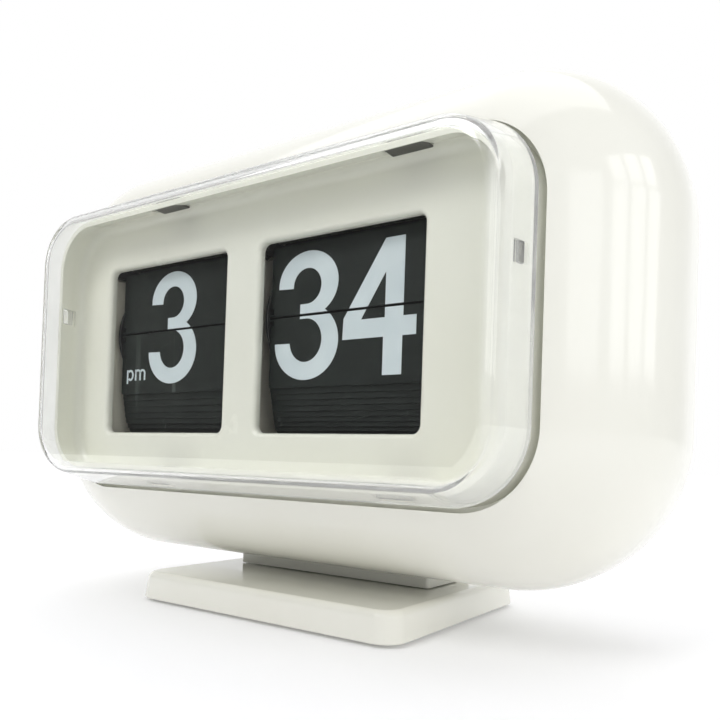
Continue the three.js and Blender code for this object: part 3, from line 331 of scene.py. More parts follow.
class Finish:
    """A material with a Principled shader and short ways to add nodes to it."""

    def __init__(self, name, **sockets):
        self.material = bpy.data.materials.new(name)
        self.material.use_nodes = True
        self.tree = self.material.node_tree
        self.shader = self.tree.nodes["Principled BSDF"]
        for socket, value in sockets.items():
            self.shader.inputs[socket.replace("_", " ")].default_value = value
        self.place = self.node("ShaderNodeTexCoord").outputs["Object"]

    def node(self, kind, **settings):
        made = self.tree.nodes.new(kind)
        for key, value in settings.items():
            setattr(made, key, value)
        return made

    def link(self, output, target):
        self.tree.links.new(output, target)

    def noise(self, scale, detail=4.0, roughness=0.5, stretch=(1, 1, 1), distortion=0.0):
        mapping = self.node("ShaderNodeMapping")
        mapping.inputs["Scale"].default_value = stretch
        self.link(self.place, mapping.inputs["Vector"])
        made = self.node("ShaderNodeTexNoise")
        made.inputs["Scale"].default_value = scale
        made.inputs["Detail"].default_value = detail
        made.inputs["Roughness"].default_value = roughness
        made.inputs["Distortion"].default_value = distortion
        self.link(mapping.outputs["Vector"], made.inputs["Vector"])
        return made.outputs["Fac"]

    def specks(self, scale, size):
        """1 on small round dots scattered through the material, 0 between them."""
        cells = self.node("ShaderNodeTexVoronoi")
        cells.inputs["Scale"].default_value = scale
        cells.inputs["Randomness"].default_value = 1.0
        self.link(self.place, cells.inputs["Vector"])
        return self.span(cells.outputs["Distance"], size, size * 0.4, 0, 1)

    def span(self, value, from_low, from_high, to_low, to_high):
        made = self.node("ShaderNodeMapRange")
        for socket, number in zip(("From Min", "From Max", "To Min", "To Max"),
                                  (from_low, from_high, to_low, to_high)):
            made.inputs[socket].default_value = number
        self.link(value, made.inputs["Value"])
        return made.outputs["Result"]

    def times(self, a, b):
        made = self.node("ShaderNodeMath", operation="MULTIPLY")
        for value, socket in ((a, made.inputs[0]), (b, made.inputs[1])):
            if isinstance(value, (int, float)):
                socket.default_value = value
            else:
                self.link(value, socket)
        return made.outputs[0]

    def most(self, a, b):
        made = self.node("ShaderNodeMath", operation="MAXIMUM")
        self.link(a, made.inputs[0])
        self.link(b, made.inputs[1])
        return made.outputs[0]

    def blend(self, amount, low, high):
        """Colour that goes from low to high; each is a colour or another node's output."""
        made = self.node("ShaderNodeMix", data_type="RGBA")
        self.link(amount, made.inputs["Factor"])
        for value, socket in ((low, made.inputs["A"]), (high, made.inputs["B"])):
            colour = [s for s in made.inputs if s.name == socket.name and s.type == "RGBA"][0]
            if isinstance(value, tuple):
                colour.default_value = value
            else:
                self.link(value, colour)
        return [s for s in made.outputs if s.type == "RGBA"][0]

    def colour(self, output):
        self.link(output, self.shader.inputs["Base Color"])

    def rough(self, output):
        self.link(output, self.shader.inputs["Roughness"])

    def bump(self, height, strength, distance):
        made = self.node("ShaderNodeBump")
        made.inputs["Strength"].default_value = strength
        made.inputs["Distance"].default_value = distance * MM
        self.link(height, made.inputs["Height"])
        self.link(made.outputs["Normal"], self.shader.inputs["Normal"])


def moulded(name, light, dark, rough_low, rough_high, grain=0.004, grain_scale=900, **sockets):
    """Moulded plastic: slow colour drift, uneven gloss, tiny specks of dust and a faint surface grain."""
    made = Finish(name, **sockets)
    drift = made.span(made.noise(14, 3), 0.3, 0.7, 0, 1)
    base = made.blend(drift, light, dark)
    dust = made.times(made.specks(420, 0.05), made.span(made.noise(60, 2), 0.52, 0.62, 0, 0.35))
    made.colour(made.blend(dust, base, tuple(0.62 * c for c in dark[:3]) + (1.0,)))
    made.rough(made.span(made.noise(38, 5, 0.6), 0.3, 0.7, rough_low, rough_high))
    made.bump(made.noise(grain_scale, 2), 0.35, grain)
    return made.material


def metal(name, light, dark, rough_low, rough_high, brushed=(1, 1, 1)):
    """Bare or plated metal with tool marks and small stains."""
    made = Finish(name, Metallic=1.0)
    made.colour(made.blend(made.span(made.noise(180, 5), 0.35, 0.7, 0, 1), light, dark))
    marks = made.noise(900, 3, 0.6, brushed)
    made.rough(made.span(marks, 0.3, 0.7, rough_low, rough_high))
    made.bump(marks, 0.3, 0.01)
    return made.material


def card_material(name, face, speck):
    """Thin printed-plastic card: nearly black, with fine lint, dull scuffs and a satin surface."""
    made = Finish(name, Specular_IOR_Level=0.35)
    cloud = made.span(made.noise(90, 6, 0.65), 0.35, 0.75, 0, 1)
    base = made.blend(cloud, face, tuple(0.72 * c for c in face[:3]) + (1.0,))
    lint = made.times(made.specks(900, 0.11), made.span(made.noise(240, 3), 0.46, 0.62, 0, 0.5))
    dusty = made.blend(lint, base, speck)
    scratch = made.span(made.noise(230, 2, 0.5, (1, 1, 0.06), 0.6), 0.70, 0.78, 0, 0.3)
    made.colour(made.blend(scratch, dusty, speck))
    made.rough(made.span(made.noise(150, 4), 0.3, 0.7, 0.42, 0.62))
    made.bump(made.noise(1600, 2), 0.4, 0.004)
    return made.material


CREAM = moulded("cream_abs", srgb(240, 240, 232), srgb(235, 234, 224), 0.09, 0.17, 0.002, 260,
                Coat_Weight=0.25, Coat_Roughness=0.05)
TRAY_CREAM = moulded("tray_cream", srgb(244, 245, 235), srgb(240, 240, 228), 0.18, 0.28, 0.004,
                     Coat_Weight=0.3, Coat_Roughness=0.08)
NYLON = moulded("nylon", srgb(235, 233, 220), srgb(224, 221, 205), 0.40, 0.55, 0.006)
GEAR_WHITE = moulded("acetal", srgb(232, 230, 218), srgb(218, 215, 200), 0.35, 0.5, 0.004)
# dark grey for the pads in the clip slots: painted shade, standing for the shade inside the slots
SLOT_SHADE_GREY = moulded("slot_shade_grey", srgb(82, 82, 76), srgb(66, 66, 61), 0.4, 0.55, 0.005)
DARK = moulded("dark_plastic", srgb(34, 36, 36), srgb(24, 25, 26), 0.38, 0.55, 0.005)
RUBBER = moulded("rubber", srgb(44, 43, 42), srgb(30, 30, 29), 0.72, 0.9, 0.02)
CARD = card_material("flap_card", srgb(24, 31, 28), srgb(116, 124, 120))
BRASS = metal("brass", srgb(205, 170, 95), srgb(176, 138, 70), 0.22, 0.38)
STEEL = metal("zinc_steel", srgb(196, 196, 192), srgb(150, 151, 150), 0.22, 0.42, (1, 1, 8))
KNURL = moulded("setting_plastic", srgb(226, 224, 214), srgb(210, 207, 194), 0.38, 0.5, 0.006)


def ink_material():
    made = Finish("digit_ink", Specular_IOR_Level=0.3)
    cloud = made.span(made.noise(120, 5), 0.35, 0.7, 0, 1)
    base = made.blend(cloud, srgb(218, 229, 233), srgb(207, 219, 224))
    wear = made.times(made.specks(700, 0.09), made.span(made.noise(140, 3), 0.5, 0.62, 0, 0.35))
    made.colour(made.blend(wear, base, srgb(96, 106, 106)))
    made.rough(made.span(made.noise(200, 3), 0.3, 0.7, 0.4, 0.55))
    made.bump(made.noise(1400, 2), 0.3, 0.003)
    return made.material


def acrylic_material():
    made = Finish("clear_acrylic", Transmission_Weight=1.0, IOR=1.49)
    made.shader.inputs["Base Color"].default_value = (0.985, 0.99, 0.98, 1.0)
    smear = made.span(made.noise(55, 5, 0.65), 0.5, 0.75, 0.0, 0.035)
    made.rough(smear)
    made.bump(made.noise(9, 2), 0.05, 0.02)
    from_middle = made.node("ShaderNodeVectorMath", operation="SUBTRACT")
    made.link(made.place, from_middle.inputs[0])
    from_middle.inputs[1].default_value = (0, 0, COVER_CENTRE_Z * MM)
    away = made.node("ShaderNodeVectorMath", operation="ABSOLUTE")
    made.link(from_middle.outputs[0], away.inputs[0])
    split = made.node("ShaderNodeSeparateXYZ")
    made.link(away.outputs[0], split.inputs[0])
    # milky white near the side, top and bottom walls: painted light that brightens walls which, clear, show
    # the dark inside
    side = made.span(split.outputs["X"], (COVER_HALF_WIDTH - 2) * MM, (COVER_HALF_WIDTH - 0.8) * MM, 0, 1)
    level = made.span(split.outputs["Z"], (COVER_HALF_HEIGHT - 2) * MM, (COVER_HALF_HEIGHT - 0.8) * MM, 0, 1)
    wall_y = -COVER_FRONT_Y - COVER_WALL
    deep = made.span(split.outputs["Y"], (wall_y - 0.3) * MM, (wall_y - 1.5) * MM, 0, 1)
    walls = made.most(made.most(side, level), deep)
    painted_wall_light = made.times(walls, made.span(made.noise(60, 4, 0.6), 0.3, 0.7, 0.10, 0.2))
    made.link(made.span(painted_wall_light, 0, 1, 1, 0), made.shader.inputs["Transmission Weight"])
    return made.material


def board_material():
    made = Finish("circuit_board", Specular_IOR_Level=0.5)
    track = made.span(made.noise(420, 1, 0.4, (1, 1, 1)), 0.48, 0.53, 0, 1)
    made.colour(made.blend(track, srgb(38, 92, 58), srgb(62, 128, 80)))
    made.rough(made.span(made.noise(300, 3), 0.3, 0.7, 0.3, 0.5))
    made.bump(track, 0.4, 0.03)
    return made.material


def jacket_material():
    made = Finish("battery_jacket", Metallic=0.35)
    made.colour(made.blend(made.span(made.noise(30, 4), 0.3, 0.7, 0, 1), srgb(58, 64, 84), srgb(40, 44, 60)))
    made.rough(made.span(made.noise(160, 4), 0.3, 0.7, 0.24, 0.4))
    made.bump(made.noise(500, 2), 0.2, 0.01)
    return made.material


INK = ink_material()
ACRYLIC = acrylic_material()
BOARD = board_material()
JACKET = jacket_material()


# ------------------------------------------------------------------ housing

def body_loft(name, grow, from_y, to_y, steps=30):
    """The part of the pillow-shaped body between two planes, grown by grow."""
    roll = BODY_ROLL + grow
    back_centre = BODY_BACK_Y - BODY_ROLL
    front_centre = BODY_FRONT_Y + BODY_ROLL
    levels = [front_centre - roll * math.sin(math.pi / 2 * i / steps) for i in range(steps, -1, -1)]
    levels += [back_centre + roll * math.sin(math.pi / 2 * i / steps) for i in range(steps + 1)]
    inner = [y for y in levels if from_y + 0.01 < y < to_y - 0.01]
    low = max(from_y, levels[0])
    high = min(to_y, levels[-1])
    sections = []
    for y in [low, *inner, high]:
        depth = max(front_centre - y, y - back_centre, 0)
        inset = BODY_ROLL - math.sqrt(max(roll * roll - depth * depth, 0))
        sections.append((y, BODY_HALF_WIDTH - inset, BODY_HALF_HEIGHT - inset, BODY_CORNER - inset))
    return loft(name, sections, facing_front(0, BODY_CENTRE_Z), 22)


def cover_loft(name, grow, front_y, back_y, front_edge=0.0, back_edge=0.0, steps=8):
    """The cover's flared outline between two planes, with rounded front or back edges."""
    def section(y, inset):
        share = (y - COVER_FRONT_Y) / (COVER_BACK_Y - COVER_FRONT_Y)
        widen = COVER_FLARE * share + grow - inset
        return (y, COVER_HALF_WIDTH + widen, COVER_HALF_HEIGHT + widen, COVER_CORNER + widen)

    turn = [math.pi / 2 * i / steps for i in range(steps + 1)]
    sections = []
    if front_edge:
        sections += [section(front_y + front_edge * (1 - math.sin(a)), front_edge * (1 - math.cos(a)))
                     for a in reversed(turn)]
    else:
        sections.append(section(front_y, 0))
    if back_edge:
        sections += [section(back_y - back_edge * (1 - math.sin(a)), back_edge * (1 - math.cos(a)))
                     for a in turn]
    else:
        sections.append(section(back_y, 0))
    return loft(name, sections, facing_front(0, COVER_CENTRE_Z), 20)


def back_surface(z):
    """y of the body's back at height z, near the middle."""
    depth = max(abs(z - BODY_CENTRE_Z) - (BODY_HALF_HEIGHT - BODY_ROLL), 0)
    return BODY_BACK_Y - BODY_ROLL + math.sqrt(BODY_ROLL ** 2 - depth ** 2)


GRIP_RIDGES = 5
GRIP_PITCH = 1.8
DOOR_SPACE = 0.4
DOOR_FROM_Y = 15  # ahead of every part of the door
SETTING_WHEEL_THICKNESS = 6
SETTING_WHEEL_LEFT = SETTING[1].x - SETTING_WHEEL_THICKNESS
SETTING_Y = mid(SETTING)[1]
SETTING_RADIUS = half(SETTING)[1]
SETTING_TEETH = 20
SETTING_GEAR_FACE = 2.2
GEAR_MODULE = 0.75
SLOT_RISE = math.sqrt(SETTING_RADIUS ** 2 - (BODY_BACK_Y - BODY_WALL - SETTING_Y) ** 2) + 2 * GAP
SCREW_HEADS = [node_box(f"housing_screw_{level}_{side}") for level in ("top", "bottom")
               for side in ("left", "right")]
HEAD_RADIUS = half(SCREW_HEADS[0])[0]
HEAD_THICKNESS = 1.8
POST_RADIUS = 4
FAR = 60
COVER_SEAT_Y = BODY_FRONT_Y + 1  # where the cover's back edge rests on the housing's ledge
LEDGE_REACH = 3
LEDGE_GAP = 0.2
LEDGE_THICKNESS = 1.2


def make_front_housing():
    front = body_loft("front_shell", 0, -FAR, SEAM_Y - GAP / 2)
    cut(front, body_loft("hollow", -BODY_WALL, -FAR, FAR))
    cut(front, cover_loft("opening", GAP / 2, BODY_FRONT_Y - 10, BODY_FRONT_Y + 12))
    ledge_y = COVER_SEAT_Y + LEDGE_GAP
    ledge = cover_loft("ledge", LEDGE_REACH, ledge_y, ledge_y + LEDGE_THICKNESS)
    cut(ledge, cover_loft("opening", -COVER_WALL, BODY_FRONT_Y, BODY_FRONT_Y + 12))
    combine(ledge, body_loft("outline", -LEDGE_GAP, -FAR, FAR), "INTERSECT")
    join(front, ledge)
    soften(front, 0.35, 2, 40)
    finish_piece(front, CREAM, "case", ["front_housing"])


def make_rear_housing():
    rear = body_loft("rear_shell", 0, SEAM_Y + GAP / 2, FAR)
    cut(rear, body_loft("hollow", -BODY_WALL, -FAR, FAR))
    bosses = []
    recesses = []
    for low, high in SCREW_HEADS:
        centre = ((low.x + high.x) / 2, 0, (low.z + high.z) / 2)
        seat = high.y - HEAD_THICKNESS - GAP
        bosses.append(turned("boss", [(seat - 3, POST_RADIUS), (FAR, POST_RADIUS)], centre, "y"))
        recesses.append(turned("recess", [(seat, HEAD_RADIUS + GAP), (FAR, HEAD_RADIUS + GAP)], centre, "y"))
    boss = gather("bosses", bosses)
    combine(boss, body_loft("outline", 0, SEAM_Y, FAR), "INTERSECT")
    join(rear, boss)
    cut(rear, gather("recesses", recesses))
    cut(rear, slab("door_opening", (DOOR[0].x - DOOR_SPACE, DOOR_FROM_Y, DOOR[0].z - DOOR_SPACE),
                   (DOOR[1].x + DOOR_SPACE, FAR, DOOR[1].z + DOOR_SPACE)))
    middle = (SETTING_WHEEL_LEFT + SETTING[1].x) / 2
    room = SETTING_WHEEL_THICKNESS / 2 + 2 * GAP
    cut(rear, slab("wheel_slot", (middle - room, 20, SPLIT_Z - SLOT_RISE),
                   (middle + room, FAR, SPLIT_Z + SLOT_RISE)))
    soften(rear, 0.35, 2, 40)
    finish_piece(rear, CREAM, "case", ["rear_housing"])


def make_battery_door():
    outside = body_loft("battery_door_shell", 0, DOOR_FROM_Y, FAR)
    cut(outside, body_loft("hollow", -BODY_WALL, -FAR, FAR))
    outline = slab("outline", (DOOR[0].x, DOOR_FROM_Y, DOOR[0].z), (DOOR[1].x, FAR, DOOR[1].z))
    combine(outside, outline, "INTERSECT")
    soften(outside, 0.35, 2, 40)
    finish_piece(outside, CREAM, "battery_door", ["battery_door"])
    grips = []
    middle = mid(DOOR)[0]
    for i in range(GRIP_RIDGES):
        z = DOOR[1].z - 4 - GRIP_PITCH * i
        y = back_surface(z)
        length = 9 - GRIP_PITCH / 2 * i
        grips.append(slab("ridge", (middle - length, y - 0.3, z - 0.4),
                          (middle + length, y + 0.6, z + 0.4), 0.3))
    finish_piece(gather("battery_door_grip", grips), CREAM, "battery_door")


# ------------------------------------------------------------------ cover and dial

def clip_boxes(name, inner_grow, outer_grow, spare, sides=(-1, 1)):
    """Boxes at the snap lugs, four above and below and one at each side that is named in sides."""
    front = CLIP_Y - spare
    back = CLIP_Y + CLIP_DEPTH + spare
    half = CLIP_HALF + spare
    side_half = CLIP_SIDE_HALF + spare / 4
    boxes = []
    grows = (inner_grow, outer_grow)
    for sign in (-1, 1):
        edge = [COVER_CENTRE_Z + sign * (COVER_HALF_HEIGHT + CLIP_FLARE + g) for g in grows]
        for x in CLIP_XS:
            boxes.append(slab(name, (x - half, front, min(edge)), (x + half, back, max(edge)), 0.25))
    for sign in sides:
        edge = [sign * (COVER_HALF_WIDTH + CLIP_FLARE + g) for g in grows]
        low = (min(edge), front, CLIP_SIDE_Z - side_half)
        high = (max(edge), back, CLIP_SIDE_Z + side_half)
        boxes.append(slab(name, low, high, 0.25))
    return gather(name, boxes)


def make_cover():
    cover = cover_loft("cover_shell", 0, COVER_FRONT_Y, COVER_SEAT_Y, COVER_EDGE, 0.4)
    inner_y = COVER_FRONT_Y + COVER_WALL
    cut(cover, cover_loft("hollow", -COVER_WALL, inner_y, COVER_BACK_Y + 5, COVER_EDGE - 1))
    join(cover, clip_boxes("lugs", -COVER_WALL - GAP - CLIP_THICKNESS, -COVER_WALL / 2, 0))
    finish_piece(cover, ACRYLIC, "case", ["clear_front_cover"])
    cover.visible_shadow = False  # lamp light reaches the dial through the clear walls


def window(centre_x):
    steps = 8
    sections = [(PANEL_Y - 2, WINDOW_EASE + 0.2)]
    for i in range(steps + 1):
        angle = math.pi / 2 * i / steps
        sections.append((PANEL_Y + WINDOW_EASE * (1 - math.cos(angle)), WINDOW_EASE * (1 - math.sin(angle))))
    sections.append((PANEL_Y + 2 * PANEL_THICKNESS, 0))
    stack = [(y, WINDOW_HALF_WIDTH + g, WINDOW_HALF_HEIGHT + g, WINDOW_CORNER + g) for y, g in sections]
    return loft("window", stack, facing_front(centre_x, SPLIT_Z - WINDOW_DROP), 10)


def make_tray():
    fit = -COVER_WALL - GAP
    tray = cover_loft("tray_shell", fit, RIM_Y, FLANGE_BACK_Y, 0.3)
    flange = cover_loft("flange", fit + FLANGE_WIDTH, FLANGE_BACK_Y - FLANGE_THICKNESS, FLANGE_BACK_Y)
    combine(flange, body_loft("space", -BODY_WALL - GAP, -FAR, FAR), "INTERSECT")
    join(tray, flange)
    cut(tray, cover_loft("dish", fit - TRAY_WALL, RIM_Y - 1, PANEL_Y, 0, TRAY_FILLET, 14))
    cut(tray, cover_loft("behind", fit - TRAY_WALL, PANEL_Y + PANEL_THICKNESS, FLANGE_BACK_Y + 1))
    cut(tray, window(CENTRE_X["hour"]), window(CENTRE_X["minute"]))
    cut(tray, clip_boxes("slots", fit - 2 * TRAY_WALL, fit + 0.6, CLIP_SPARE))
    finish_piece(tray, TRAY_CREAM, "case", ["dial_tray"])
    # dark grey pads lining the clip slots: painted shade where the slots fall dark
    slot_shade_pads = clip_boxes("clip_slot_shade_pads", fit - 1.1, fit - 0.6, CLIP_SPARE - 0.1, (1,))
    finish_piece(slot_shade_pads, SLOT_SHADE_GREY, "case")
    middle = CLIP_Y + CLIP_DEPTH / 2
    pad_x = COVER_HALF_WIDTH + CLIP_FLARE + fit - 0.7
    bump = slab("cover_clip_bump", (pad_x, middle - 1.5, CLIP_SIDE_Z - CLIP_SIDE_HALF),
                (pad_x + 0.28, middle + 1.5, CLIP_SIDE_Z + CLIP_SIDE_HALF), 0.1)
    finish_piece(bump, TRAY_CREAM, "case")


# ------------------------------------------------------------------ stand

STAND_CORNER = 6
STAND_EDGE = 2
STAND_DRAFT = 0.6
NECK_CORNER = 1.2


def make_stand():
    centre_x, centre_y, _ = mid(STAND)
    half_width, half_depth, _ = half(STAND)
    steps = 10
    low_edge = 0.4
    bottom, top = STAND[0].z, STAND[1].z
    levels = [(bottom, low_edge), (bottom + 0.3 * low_edge, 0.3 * low_edge), (bottom + low_edge, 0)]
    for i in range(steps + 1):
        angle = math.pi / 2 * i / steps
        levels.append((top - STAND_EDGE * (1 - math.sin(angle)),
                       STAND_DRAFT + STAND_EDGE * (1 - math.cos(angle))))
    sections = [(z, half_width - g, half_depth - g, STAND_CORNER - g / 2) for z, g in levels]
    plate = loft("stand_base", sections, facing_up(centre_x, centre_y), 14)
    pockets = []
    for end in ("front", "back"):
        for side in ("left", "right"):
            low, high = foot_box = node_box(f"foot_{end}_{side}")
            centre = (*mid(foot_box)[:2], 0)
            radius = half(foot_box)[0]
            pockets.append(turned("pocket", [(-1, radius + GAP), (high.z + GAP, radius + GAP)], centre, "z"))
            rim = 0.35
            profile = [(low.z, radius - rim), (low.z + rim / 2, radius - rim / 4), (low.z + rim, radius),
                       (high.z, radius)]
            foot = turned(f"foot_pad_{end}_{side}", profile, centre, "z")
            finish_piece(foot, RUBBER, "case", [f"foot_{end}_{side}"])
    for side in ("left", "right"):
        screw_box = node_box(f"stand_screw_{side}")
        centre = (*mid(screw_box)[:2], 0)
        radius = half(screw_box)[0]
        pockets.append(turned("pocket", [(-1, radius + GAP), (5, radius + GAP)], centre, "z"))
        pockets.append(turned("bore", [(6, 1.7), (FAR, 1.7)], centre, "z", 32))
    for pocket in pockets:
        cut(plate, pocket)
    finish_piece(plate, CREAM, "case", ["stand_plate"])

    outline = (*half(NECK)[:2], NECK_CORNER)
    stack = [(NECK[0].z, *outline), (BODY_CENTRE_Z, *outline)]
    neck = loft("stand_pillar", stack, facing_up(*mid(NECK)[:2]), 8)
    cut(neck, body_loft("body", GAP, -FAR, FAR))
    finish_piece(neck, CREAM, "case", ["stand_neck"])


# ------------------------------------------------------------------ flap cards

CARD_THICKNESS = 0.28
FRONT_CARD_THICKNESS = 0.9 * (FLAP_BACK_Y - FLAP_FRONT_Y)
NEXT_CARD_Y = FLAP_BACK_Y + 0.35
CARD_SPACING = 0.34
WAITING_END = 165  # degrees round the drum that the waiting cards reach
FALLEN_END = 88
CARD_CORNER = 0.9
NOTCH_WIDTH = 1.0
NOTCH_HEIGHT = 2.2
PIN_RADIUS = 0.35


def card_outline(half_width, height):
    """Card seen from the front, hinge edge at the bottom: notched hinge corners, rounded tip corners."""
    steps = 6
    points = [(-half_width + NOTCH_WIDTH, 0), (half_width - NOTCH_WIDTH, 0),
              (half_width - NOTCH_WIDTH, NOTCH_HEIGHT), (half_width, NOTCH_HEIGHT)]
    for start, x, in ((0, half_width - CARD_CORNER), (1, -half_width + CARD_CORNER)):
        for i in range(steps + 1):
            angle = (start + i / steps) * math.pi / 2
            points.append((x + CARD_CORNER * math.cos(angle),
                           height - CARD_CORNER * (1 - math.sin(angle))))
    points += [(-half_width, NOTCH_HEIGHT), (-half_width + NOTCH_WIDTH, NOTCH_HEIGHT)]
    return points


def add_card(verts, faces, centre_x, hinge, tip, thickness=CARD_THICKNESS):
    """A flat card from its hinge (y, z) to its tip (y, z), with a pin at each end of its hinge edge."""
    direction = Vector((0, tip[0] - hinge[0], tip[1] - hinge[1]))
    height = direction.length
    direction.normalize()
    across = Vector((1, 0, 0))
    normal = direction.cross(across)
    base = Vector((centre_x, hinge[0], hinge[1]))
    outline = card_outline(FLAP_HALF, height)
    first = len(verts)
    count = len(outline)
    for side in (-0.5, 0.5):
        for a, b in outline:
            verts.append(base + across * a + direction * b + normal * side * thickness)
    faces.append(tuple(range(first, first + count)))
    faces.append(tuple(range(first + 2 * count - 1, first + count - 1, -1)))
    for i in range(count):
        j = (i + 1) % count
        faces.append((first + i, first + count + i, first + count + j, first + j))
    for end in (-1, 1):
        start = len(verts)
        sides = 10
        for x in (FLAP_HALF - NOTCH_WIDTH - 0.2, FLAP_HALF + 0.25):
            for k in range(sides):
                angle = 2 * math.pi * k / sides
                rise = direction * PIN_RADIUS * (1 + math.sin(angle))
                verts.append(base + across * end * x + rise + normal * PIN_RADIUS * math.cos(angle))
        for k in range(sides):
            m = (k + 1) % sides
            faces.append((start + k, start + sides + k, start + sides + m, start + m))
        faces.append(tuple(range(start, start + sides)))
        faces.append(tuple(range(start + 2 * sides - 1, start + sides - 1, -1)))


def card_piece(name, cards, body, nodes):
    """One object out of several cards; each is (centre_x, hinge, tip, thickness)."""
    verts = []
    faces = []
    for centre_x, hinge, tip, thickness in cards:
        add_card(verts, faces, centre_x, hinge, tip, thickness)
    piece = make(name, verts, faces)
    tidy_normals(piece)
    return finish_piece(piece, CARD, body, nodes)


def make_cards(side):
    """The front pair of cards, and the waiting and fallen stacks, which stay with the case."""
    centre_x = CENTRE_X[side]
    (upper_low, upper_high), (lower_low, lower_high) = FLAP[side]

    def front_card(name, hinge_z, tip_z, body, node):
        card = (centre_x, (FLAP_MIDDLE_Y, hinge_z), (FLAP_MIDDLE_Y, tip_z), FRONT_CARD_THICKNESS)
        card_piece(f"{side}_{name}", [card], body, [f"{side}_{node}"])

    front_card("upper_card", upper_low.z, upper_high.z, f"{side}_flap", "upper_flap")
    front_card("lower_card", lower_high.z, lower_low.z, "case", "lower_flap")

    pitch = 2 * math.pi / CARDS[side]
    next_y = NEXT_CARD_Y
    waiting = [(centre_x, (next_y, upper_low.z), (next_y, upper_high.z - 0.2), CARD_THICKNESS)]
    angle = 2 * pitch
    while angle < math.radians(WAITING_END):
        hinge = (DRUM_Y - PIN_CIRCLE * math.cos(angle), SPLIT_Z + PIN_CIRCLE * math.sin(angle))
        tip = (hinge[0] + FLAP_HEIGHT * math.sin(angle), hinge[1] + FLAP_HEIGHT * math.cos(angle))
        waiting.append((centre_x, hinge, tip, CARD_THICKNESS))
        angle += pitch
    card_piece(f"{side}_waiting_cards", waiting, "case", [f"{side}_waiting_flaps"])

    fallen = []
    step = 1
    while pitch * step < math.radians(FALLEN_END):
        angle = pitch * step
        sag = PIN_CIRCLE * (1 - math.cos(angle))
        hinge_y = FLAP_MIDDLE_Y + max(sag, CARD_SPACING * step + 0.3)
        hinge = (hinge_y, lower_high.z - PIN_CIRCLE * math.sin(angle))
        tip = (FLAP_MIDDLE_Y + max(0.6 * sag, CARD_SPACING * step + 0.3), hinge[1] - FLAP_HEIGHT)
        fallen.append((centre_x, hinge, tip, CARD_THICKNESS))
        step += 1
    card_piece(f"{side}_fallen_cards", fallen, "case", [f"{side}_fallen_flaps"])


# ------------------------------------------------------------------ printed digits

def arc(centre, half_width, half_height, start, end, steps=28):
    """Points along an ellipse between two angles in degrees."""
    points = []
    for i in range(steps + 1):
        angle = math.radians(start + (end - start) * i / steps)
        points.append((centre[0] + half_width * math.cos(angle), centre[1] + half_height * math.sin(angle)))
    return points


def glyph_three():
    """Flat-ended 3; x from its middle, height from the split between the flaps."""
    upper = (0.1, 8.2)
    lower = (-0.1, -7.3)
    outline = arc(upper, 10.0, 8.9, 184, -52) + arc(lower, 10.7, 10.1, 56, -180)
    outline += arc((-0.2, -6.8), 5.4, 5.8, 186, 450)
    outline += [(-2.3, -1.0), (-2.3, 2.9)]
    outline += arc((-0.1, 7.7), 4.7, 4.8, 270, 544)
    return [outline]


def glyph_four():
    outside = [(0.8, 16.9), (6.4, 16.9), (6.4, -2.8), (10.1, -2.8), (10.1, -7.6), (6.3, -7.6),
               (6.3, -17.1), (0.8, -17.1), (0.8, -7.6), (-11.6, -7.6), (-11.4, -2.2)]
    hole = [(1.1, 8.6), (-6.0, -2.8), (1.1, -2.8)]
    return [outside, hole]


def glyph_five():
    outline = [(-8.4, 16.9), (8.8, 16.9), (8.8, 12.2), (-4.2, 12.2), (-5.0, 3.6)]
    outline += arc((0, -6.2), 10.7, 11.0, 118, -180)
    outline += arc((0, -6.4), 5.4, 6.2, 186, 498)
    outline += [(-10.0, -1.8)]
    return [outline]


def glyph_pm():
    """The small pm: each letter as bars and rings; x from the left edge, height from the baseline."""
    stroke = 0.72
    tall = 3.5
    shapes = []
    shapes.append([(0, -0.95), (stroke, -0.95), (stroke, tall), (0, tall)])
    bowl = arc((1.75, tall / 2), 1.55, tall / 2 + 0.05, 135, -135, 20)
    bowl += arc((1.75, tall / 2), 1.55 - stroke, tall / 2 - 0.62, -135, 135, 20)
    shapes.append(bowl)
    left = 4.0
    width = 2.15
    shapes.append([(left, 0), (left + stroke, 0), (left + stroke, tall), (left, tall)])
    for i in (1, 2):
        right = left + i * width
        middle = right - width / 2 + stroke / 2
        arch = arc((middle, tall - 1.25), width / 2 + stroke / 2, 1.3, 180, 0, 14)
        arch += [(right + stroke, 0), (right, 0)]
        arch += arc((middle, tall - 1.25), width / 2 - stroke / 2, 0.65, 0, 180, 14)
        shapes.append(arch)
    return shapes


GLYPHS = {"3": glyph_three, "4": glyph_four, "5": glyph_five}
TENS_X = -12.5
UNITS_X = 11.0
HOUR_DIGIT_X = -1.45
HOUR_DIGIT_RISE = 0.9
PM_X = -22.5
PM_Z = -15.0
INK_THICKNESS = 0.04


def flat_shape(loops):
    """Mesh of a filled outline with its holes, in the x-z plane, in millimetres."""
    curve = bpy.data.curves.new("outline", "CURVE")
    curve.dimensions = "2D"
    curve.fill_mode = "BOTH"
    for loop in loops:
        spline = curve.splines.new("POLY")
        spline.points.add(len(loop) - 1)
        for point, (x, z) in zip(spline.points, loop):
            point.co = (x, z, 0, 1)
        spline.use_cyclic_u = True
    holder = placed("outline", curve)
    graph = bpy.context.evaluated_depsgraph_get()
    mesh = bpy.data.meshes.new_from_object(holder.evaluated_get(graph))
    bpy.data.objects.remove(holder)
    return mesh


